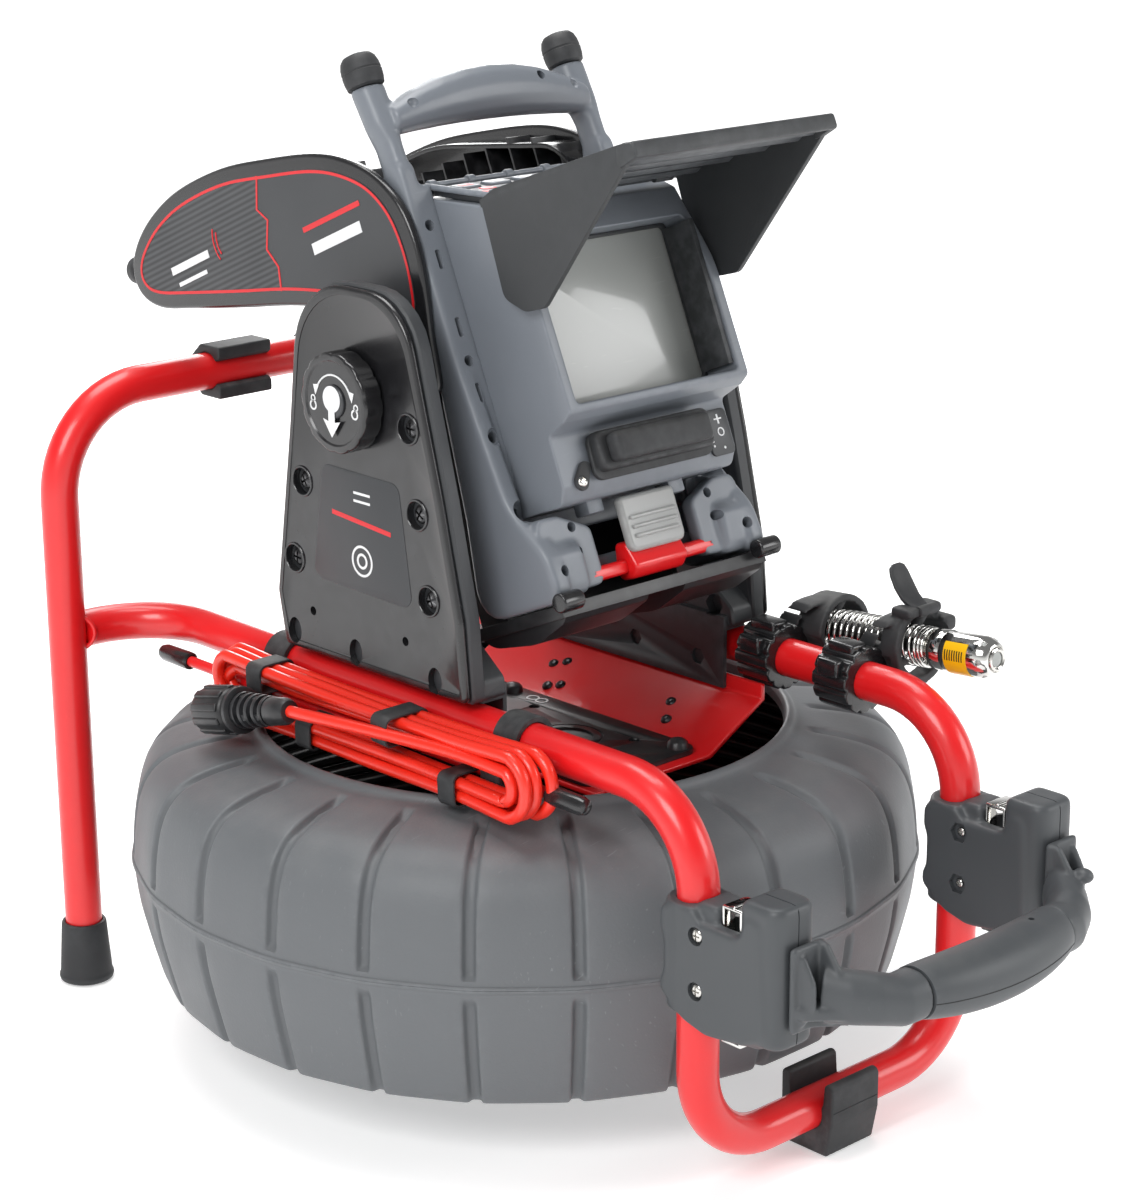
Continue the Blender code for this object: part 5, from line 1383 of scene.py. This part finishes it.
# %% Clamps
CLAMP_X, CLAMP_FACE = (85.0, 120.0), -312.0
RAIL_X, CLAMP_TOP = 102.7, 186.0
for name, side in SIDES:
    low, high = span(side, *CLAMP_X)
    body_outline = rounded([(-229.5, 121, 5), (-229.5, 128, 8), (-232.0, 133, 8), (-232.0, 150, 8), (-229.5, 155, 8),
                            (-229.5, 169, 6), (-252, 172.5, 5), (-258, 165.5, 6), (-285, 165.5, 6), (-288, 178, 5),
                            (-300, 178, 10), (-304, 116, 10), (-288, 108, 8), (-262, 105, 8), (-246, 109, 8)], 6)
    front_outline = rounded([(low + 2.5, -311, 9), (low + 2.5, -284, 4), (high - 2.5, -284, 4),
                             (high - 2.5, -311, 9)], 7)
    back_outline = rounded([(low + 6, -267, 3), (low + 6, -251, 5), (high - 6, -251, 5), (high - 6, -267, 3)], 4)
    solids = [softened(prism(body_outline, low + 1, high - 1), 2.6, 3, 60),
              rod((side * RAIL_X, -243, 112), (side * RAIL_X, -243, 171.5), 16.6, None, 48),
              softened(prism(front_outline, 110, CLAMP_TOP, "Z"), 6.5, 5, 60),
              softened(prism(back_outline, 150, 174.5, "Z"), 3.0, 3, 60),
              softened(block((low + 4, -298, 106.5), (high - 4, -262, 128)), 5, 4)]
    body = melted(solids[0], 1.25, 6, solids[1:])
    cutters = [rod((side * RAIL_X, -242.7, 50), (side * RAIL_X, -242.7, 190), 11.4, None, 56),
               block((side * RAIL_X - 9.3, -281.3, 40), (side * RAIL_X + 9.3, -266.7, 190))]
    for z in (158, 128):
        cutters.append(rod((side * 124, -256, z), (side * 116.2, -256, z), 5.0, None, 32))
        cutters.append(hexagon(facing(side * 85.5, -256, z, -side), 10.5, 7))
    seam = block((side * RAIL_X - 0.35, CLAMP_FACE - 3, 60), (side * RAIL_X + 0.35, CLAMP_FACE + 1.9, 195))
    cutters += [seam, block((side * RAIL_X - 0.35, -312, CLAMP_TOP - 0.7), (side * RAIL_X + 0.35, -284, 195))]
    piece("clamp_body_" + name, cut(body, *cutters), handle_plastic, "frame", replaces=["clamp_" + name], sharp=48)
    fixings = [cross_screw(facing(side * 116.4, -256, z, side), 3.9, 2.2) for z in (158, 128)]
    fixings += [cross_screw(facing(side * 88.6, -256, z, -side), 2.6, 1.4) for z in (158, 128)]
    piece("clamp_screws_" + name, together(*fixings), bright_steel, "frame")

    bright = [softened(block((side * RAIL_X - 8.7, -280.8, 103), (side * RAIL_X + 8.7, -279.0, 176.0)), 0.6, 2),
              softened(block((side * RAIL_X - 8.7, -268.9, 103), (side * RAIL_X + 8.7, -267.1, 176.0)), 0.6, 2),
              softened(block((side * RAIL_X - 8.7, -280.8, 174.4), (side * RAIL_X + 8.7, -267.1, 176.4)), 0.9, 3),
              softened(block((side * RAIL_X - 8.7, -276.2, 175.2), (side * RAIL_X + 8.7, -274.2, 177.6)), 0.8, 3),
              softened(block((side * RAIL_X - 8.7, -280.8, 102.2), (side * RAIL_X + 8.7, -267.1, 104.0)), 0.7, 2)]
    piece("strap_" + name, together(*bright), chrome_steel, "frame", replaces=["clamp_strap_" + name])

# %% [markdown]
# ### Arms and grip
# Each arm leaves its clamp as a flat pad with two ribs and a hollow between them, and flows into a round neck.  The
# grip between the two necks is thickest in the middle, with a mould line underneath and a small drain hole.

# %% Arms
def lofted(sections):
    work = bmesh.new()
    rings = [[work.verts.new(point) for point in section] for section in sections]
    for lower, upper in zip(rings, rings[1:]):
        for i in range(len(lower)):
            work.faces.new((lower[i - 1], lower[i], upper[i], upper[i - 1]))
    work.faces.new(rings[0])
    work.faces.new(rings[-1])
    bmesh.ops.recalc_face_normals(work, faces=work.faces)
    return work


def oval(centre, across, up, power=2.0, count=40):
    points = []
    for i in range(count):
        a, b = math.cos(math.tau * i / count), math.sin(math.tau * i / count)
        a, b = math.copysign(abs(a) ** (2 / power), a), math.copysign(abs(b) ** (2 / power), b)
        points.append(Vector(centre) + Vector(across) * a + Vector(up) * b)
    return points


GRIP_Y, GRIP_Z, GRIP_HALF = -345.0, 136.5, 55.0
for name, side in SIDES:
    neck = [((93, -320, 140), (9, -5, 0), (0, 0, 15)), ((86, -330, 139), (7.5, -8.5, 0), (0, 0, 14.2)),
            ((77, -338, 138), (5, -11.5, 0), (0, 0, 13.6)), ((66, -343.5, 135.6), (2, -13.2, 0), (0, 0, 13.4)),
            ((55.3, -345, 136.5), (0, -13.7, 0), (0, 0, 13.5))]
    flow = lofted([oval((side * x, y, z), (side * across[0], across[1], 0), up, 2.1)
                   for (x, y, z), across, up in neck])
    pad = softened(block((min(side * 88, side * 112), -316.5, 121), (max(side * 88, side * 112), -312.3, 167)), 2.0, 3)
    gusset = prism(rounded([(-313, 167, 3), (-320, 166, 4), (-331, 151, 8), (-334, 140, 6), (-330, 127, 8),
                            (-319, 122, 4), (-313, 121, 3)], 5), *sorted((side * 89.4, side * 93.6)))
    second = prism(rounded([(-313, 164, 3), (-319, 162, 4), (-326, 150, 8), (-326, 136, 6), (-318, 125, 4),
                            (-313, 124, 3)], 5), *sorted((side * 104.5, side * 108.3)))
    ledge = prism(rounded([(side * 111, -313, 3), (side * 110, -322, 5), (side * 92, -337, 10),
                           (side * 74, -345, 8), (side * 76, -330, 8), (side * 88, -313, 3)], 5), 130, 136.5, "Z")
    bottom = lofted([oval((side * 96, -318, 129), (10, -4, 0), (0, 0, 7), 2.4, 28),
                     oval((side * 84, -330, 130), (7, -7, 0), (0, 0, 8), 2.2, 28),
                     oval((side * 70, -341, 132), (3, -8, 0), (0, 0, 8), 2.0, 28)])
    solids = [pad, softened(gusset, 1.0, 2, 60), softened(second, 1.2, 2, 60), softened(ledge, 1.2, 2, 60), bottom]
    if side > 0:
        solids.append(ball((97, -332, 152), 5.2, (1, 1.2, 0.8)))
    arm_body = melted(flow, 0.95, 5, solids)
    arm_body = cut(arm_body, block((-55.3, -400, 90), (55.3, -300, 180)))
    piece("arm_" + name, arm_body, handle_plastic, "frame", replaces=["handle_arm_" + name], sharp=60)

# %% Grip
sections = []
for i in range(33):
    t = 2 * i / 32 - 1
    bulge = 1 - t * t
    centre = (t * (GRIP_HALF - 0.2), GRIP_Y - 6 * bulge, GRIP_Z - 1.5 * bulge)
    radius = 13.8 + 3.4 * bulge ** 0.8
    sections.append(oval(centre, (0, radius * 1.05, 0), (0, 0, radius), 2.0, 64))
grip_body = lofted(sections)
drop = rod((32, GRIP_Y - 4, GRIP_Z + 8), (30.6, GRIP_Y - 4, GRIP_Z + 26), 1.2, 2.4, 24)
piece("grip", cut(grip_body, drop), handle_plastic, "frame", replaces=["handle_grip"], sharp=60)
line_points = [(t * 54.6, GRIP_Y - 6 * (1 - t * t) - (13.8 + 3.4 * (1 - t * t) ** 0.8) * 1.05 * 0.995,
                GRIP_Z - 1.5 * (1 - t * t) - 2.0) for t in [i / 12 - 1 for i in range(25)]]
piece("grip_line", swept(line_points, 0.28, 8), inner_black, "frame")
# %% [markdown]
# ## The camera head and its holder
# The holder is one rubbery moulding: two fluted collars grip the rail, and two arms sweep up to rings that hold the
# spring.  A paddle-shaped tab on the front ring locks it.

# %% Holder
RAIL_Z = 221.8
CAMERA_X, CAMERA_Z = 137.0, 236.2


def axis_z(y):
    return CAMERA_Z + (-170 - y) * math.tan(CAMERA_TILT)


def fluted(y_low, y_high, lobes, phase):
    outline = []
    for i in range(lobes * 12):
        angle = math.tau * i / (lobes * 12)
        radius = 17.4 + 1.9 * min(1.0, 1.6 * abs(math.cos(lobes * angle / 2 + phase)))
        outline.append((RAIL_X + radius * math.cos(angle), RAIL_Z + radius * math.sin(angle)))
    return softened(prism(outline, y_low, y_high, "Y"), 1.3, 3, 60)


rail_hole = rod((RAIL_X, -210, RAIL_Z), (RAIL_X, -60, RAIL_Z), 11.4, None, 56)
collars = []
for i, (y_low, y_high) in enumerate(((-113.5, -88.5), (-173.5, -148.5))):
    clip = softened(block((RAIL_X - 21, y_low + 5, RAIL_Z + 4), (RAIL_X - 14, y_high - 5, RAIL_Z + 14)), 1.6, 3)
    lug = softened(block((RAIL_X - 10, y_low + 3, RAIL_Z + 13), (RAIL_X + 3, y_high - 3, RAIL_Z + 21.4)), 1.8, 3)
    collars.append(combined(fluted(y_low, y_high, 12, 0.4 * i), [clip, lug], "UNION"))
piece("holder_collars", cut(together(*collars), rail_hole), gloss_black, "frame", sharp=42)

rings = []
for y, wide, outer in ((-117, 20, 21.8), (-178, 13, 22.6)):
    shift = Matrix.Translation((CAMERA_X, y, axis_z(y))) @ Matrix.Rotation(math.pi / 2 - CAMERA_TILT, 4, "X")
    rings.append(turned([(17.6, -wide / 2), (outer, -wide / 2), (outer, wide / 2), (17.6, wide / 2)], 64, shift))
arms = []
for y_ring, y_collar, wide in ((-117, -103, 8.0), (-178, -163, 6.0)):
    stations = []
    for t in range(7):
        u = t / 6
        x = 112 + 26 * u - 9 * math.sin(math.pi * u)
        z = 236 + (axis_z(y_ring) + 19.6 - 236) * u + 5 * math.sin(math.pi * u)
        y = y_collar + (y_ring - y_collar) * u
        stations.append(oval((x, y, z), (1.8 * 0.6, 0, 1.8), (0, wide, 0), 3.0, 20))
    arms.append(lofted(stations))
    foot = lofted([oval((112, y_collar, RAIL_Z + 8), (6, 0, 0), (0, 10, 0), 3.0, 20),
                   oval((119, (y_collar + y_ring) / 2, RAIL_Z + 2), (4.5, 0, 0), (0, 9, 0), 3.0, 20),
                   oval((127, y_ring, axis_z(y_ring) - 17.4), (4, 0, 0), (0, wide * 0.9, 0), 3.0, 20)])
    arms.append(foot)
clips = [softened(block((121, -188, 256), (131, -173, 261.5)), 1.6, 2),
         softened(block((141, -186, 254.5), (152, -172, 261)), 2.2, 3),
         softened(block((150, -190, 243), (160.5, -168, 252)), 2.4, 3),
         softened(block((115, -176, 232), (124, -160, 240)), 2, 2)]
holder = melted(rings[0], 0.85, 5, [rings[1]] + arms + clips)
bores = []
for y, radius in ((-117, 17.2), (-178, 17.6)):
    shift = Matrix.Translation((CAMERA_X, y, axis_z(y))) @ Matrix.Rotation(math.pi / 2 - CAMERA_TILT, 4, "X")
    bores.append(turned([(0, -14), (radius, -14), (radius, 14), (0, 14)], 64, shift))
collar_room = rod((RAIL_X, -180, RAIL_Z), (RAIL_X, -80, RAIL_Z), 17.2, None, 56)
piece("holder_body", cut(holder, *bores, collar_room), black_rubber, "frame", replaces=["camera_holder"], sharp=50)
fingers = []
for y in (-117, -178):
    centre = Vector((CAMERA_X, y, axis_z(y)))
    for i in range(3):
        angle = math.radians(200 + 120 * i)
        away = Vector((math.cos(angle), 0, math.sin(angle)))
        side_way = Vector((-math.sin(angle), 0, math.cos(angle)))
        fingers.append(lofted([oval(centre + away * 18, side_way * 4.2, (0, 5.4, 0), 3.0, 16),
                               oval(centre + away * 12.4 + side_way * 3, side_way * 2.6, (0, 5.4, 0), 3.0, 16)]))
piece("holder_fingers", together(*fingers), black_rubber, "frame", sharp=50)
paddle = [((137, -184, 258.4), 5.5, 2.4), ((137, -179, 260.4), 6.6, 2.6), ((137, -174, 264), 7.4, 2.2),
          ((137, -169.5, 269.5), 8.0, 1.9), ((137, -165.5, 276), 7.6, 1.7), ((137, -163.6, 279.6), 6.2, 1.5),
          ((137, -162.8, 281), 3.4, 1.2)]
paddle = lofted([oval(place, (wide, 0, 0), (0, -thick * 0.8, thick * 0.6), 3.0, 28) for place, wide, thick in paddle])
knuckle = softened(rod((129.5, -186.4, 259.0), (144.5, -186.4, 259.0), 3.2, None, 24), 0.8, 2)
piece("holder_tab_shaped", together(paddle, knuckle), black_rubber, "holder_tab", replaces=["holder_latch"])

# %% [markdown]
# ### Spring and camera head
# The spring is a closed-end helix of polished wire.  The head is a polished steel can with a yellow label round it, a
# chamfer with lamp windows, and a lens ring at its end.

# %% Spring
WIRE_R, SPRING_MEAN = 1.1, 11.9
coil_points = []
height, angle = -68.0, 0.0
while height < 22.5:
    pitch = 2.5 if height < -64 or height > 16 else 4.6
    radius = SPRING_MEAN - 1.6 * max(0.0, (-60 - height) / 8) - 1.1 * max(0.0, height / 22)
    coil_points.append((radius * math.cos(angle), radius * math.sin(angle), height))
    angle += math.tau / 24
    height += pitch / 24
piece("spring_wire", swept(coil_points, WIRE_R, 10), chrome_steel, "camera", HEAD, ["camera_spring"],
      sharp=70)
core = rod((0, 0, -69), (0, 0, 24), 5.2, None, 32)
sleeve = turned([(0, -69), (8.2, -69), (8.2, -64), (0, -64)], 40)
piece("spring_core", together(core, sleeve), push_cable_black, "camera", HEAD)
can = turned([(0, 22), (9.4, 22), (9.4, 24.6), (11.2, 25.4), (11.8, 26.4), (11.8, 34), (11.55, 34.5), (11.55, 35.2),
              (12.0, 35.8), (12.0, 59.6), (11.7, 61.2), (9.4, 66.2), (8.2, 67.2), (7.4, 67.4), (7.0, 66.6),
              (0, 66.6)], 72)
windows = [rod((0, 0, 0), (0, 0, 4), 1.45, None, 20) for _ in range(6)]
windows = [moved(work, Matrix.Rotation(math.tau * i / 6, 4, "Z") @ Matrix.Translation((10.6, 0, 62.6))
                 @ Matrix.Rotation(math.radians(64), 4, "Y")) for i, work in enumerate(windows)]
piece("camera_can", cut(can, *windows), chrome_steel, "camera", HEAD, ["camera_head"])
lamps = [moved(turned([(0, 0), (1.35, 0), (1.35, 0.5), (0.8, 0.8), (0, 0.9)], 20),
               Matrix.Rotation(math.tau * i / 6, 4, "Z") @ Matrix.Translation((10.2, 0, 63.2))
               @ Matrix.Rotation(math.radians(64), 4, "Y")) for i in range(6)]
lens_window = turned([(0, 66.2), (4.2, 66.2), (4.2, 67.6), (0, 67.9)], 48)
piece("camera_lamps", together(*lamps, lens_window), screen_cover, "camera", HEAD)
bezel = turned([(4.4, 66.3), (6.9, 66.3), (6.6, 68.3), (5.6, 68.9), (4.5, 68.2)], 56)
piece("lens_bezel", bezel, bright_steel, "camera", HEAD)
label = turned([(12.02, 39), (12.22, 39), (12.22, 55), (12.02, 55)], 96)
wedge = block((-14, -14, 36), (0.5, 5, 60))
moved(wedge, Matrix.Rotation(math.radians(-20), 4, "Z"))
piece("camera_label", combined(label, [wedge], "INTERSECT"), print_yellow, "camera", HEAD)
marks = []
for i in range(8):
    bar = turned([(12.24, 40 + 1.7 * i), (12.3, 40 + 1.7 * i), (12.3, 40.8 + 1.7 * i), (12.24, 40.8 + 1.7 * i)], 96)
    marks.append(bar)
slice_block = moved(block((-14, -4.5, 36), (0, 1.5, 60)), Matrix.Rotation(math.radians(-14), 4, "Z"))
piece("camera_label_bars", combined(together(*marks), [slice_block], "INTERSECT"), inner_black, "camera", HEAD)
# %% [markdown]
# ## The set
# A plain white floor that glows a little more far out, so that it runs into the white sky without a line.  One large
# soft light hangs at the upper left, a softer one at the right and one overhead, and a strip behind the machine
# draws the bright edges on the dark plastic.

# %% Floor, sky and lights
floor_work = bmesh.new()
bmesh.ops.create_circle(floor_work, cap_ends=True, segments=96, radius=20.0)
bmesh.ops.translate(floor_work, vec=(0, 0, -0.0005), verts=floor_work.verts)
floor_mesh = bpy.data.meshes.new("studio_floor")
floor_work.to_mesh(floor_mesh)
floor_work.free()
floor_finish = bpy.data.materials.new("studio_paper")
floor_finish.use_nodes = True
paper = floor_finish.node_tree.nodes["Principled BSDF"]
paper.inputs["Base Color"].default_value = (0.86, 0.86, 0.86, 1)
paper.inputs["Roughness"].default_value = 0.85
paper.inputs["Emission Color"].default_value = (1, 1, 1, 1)
tree = floor_finish.node_tree
distance = add(tree, "ShaderNodeVectorMath", operation="LENGTH",
               inputs={0: add(tree, "ShaderNodeTexCoord").outputs["Object"]}).outputs["Value"]
glow = add(tree, "ShaderNodeMapRange", inputs={"Value": distance, "From Min": 0.6, "From Max": 2.6, "To Min": 0.42,
           "To Max": 1.0}).outputs[0]
tree.links.new(glow, paper.inputs["Emission Strength"])
floor_mesh.materials.append(floor_finish)
studio = bpy.data.objects.new("studio_floor", floor_mesh)
bpy.context.scene.collection.objects.link(studio)


def soft_light(name, place, target, size, power, colour=(1, 1, 1)):
    light = bpy.data.lights.new(name, "AREA")
    light.shape = "RECTANGLE"
    light.size, light.size_y = size
    light.energy = power
    light.color = colour
    made = bpy.data.objects.new(name, light)
    made.location = place
    direction = Vector(target) - Vector(place)
    made.rotation_mode = "QUATERNION"
    made.rotation_quaternion = direction.to_track_quat("-Z", "Y")
    bpy.context.scene.collection.objects.link(made)


soft_light("key_left", (-1.9, -0.6, 1.8), (0, 0, 0.25), (1.1, 1.1), 34)
soft_light("fill_right", (1.4, -1.9, 1.2), (0, 0, 0.25), (1.2, 1.0), 20)
soft_light("top", (0.1, 0.5, 2.3), (0, 0, 0.2), (1.3, 1.3), 36)
soft_light("rear_strip", (1.1, 1.5, 1.2), (0, 0, 0.3), (0.5, 1.6), 16)
bpy.context.scene.view_settings.view_transform = "Standard"
sky = bpy.data.worlds.new("studio")
bpy.context.scene.world = sky
sky.use_nodes = True
tree = sky.node_tree
height = add(tree, "ShaderNodeSeparateXYZ", inputs={0: add(tree, "ShaderNodeTexCoord").outputs["Generated"]})
level = add(tree, "ShaderNodeMapRange", inputs={"Value": height.outputs["Z"], "From Min": 0.1, "From Max": 0.4,
            "To Min": 1.0, "To Max": 0.24}).outputs[0]
tree.nodes["Background"].inputs["Color"].default_value = (1, 1, 1, 1)
tree.links.new(level, tree.nodes["Background"].inputs["Strength"])
print("lights placed")
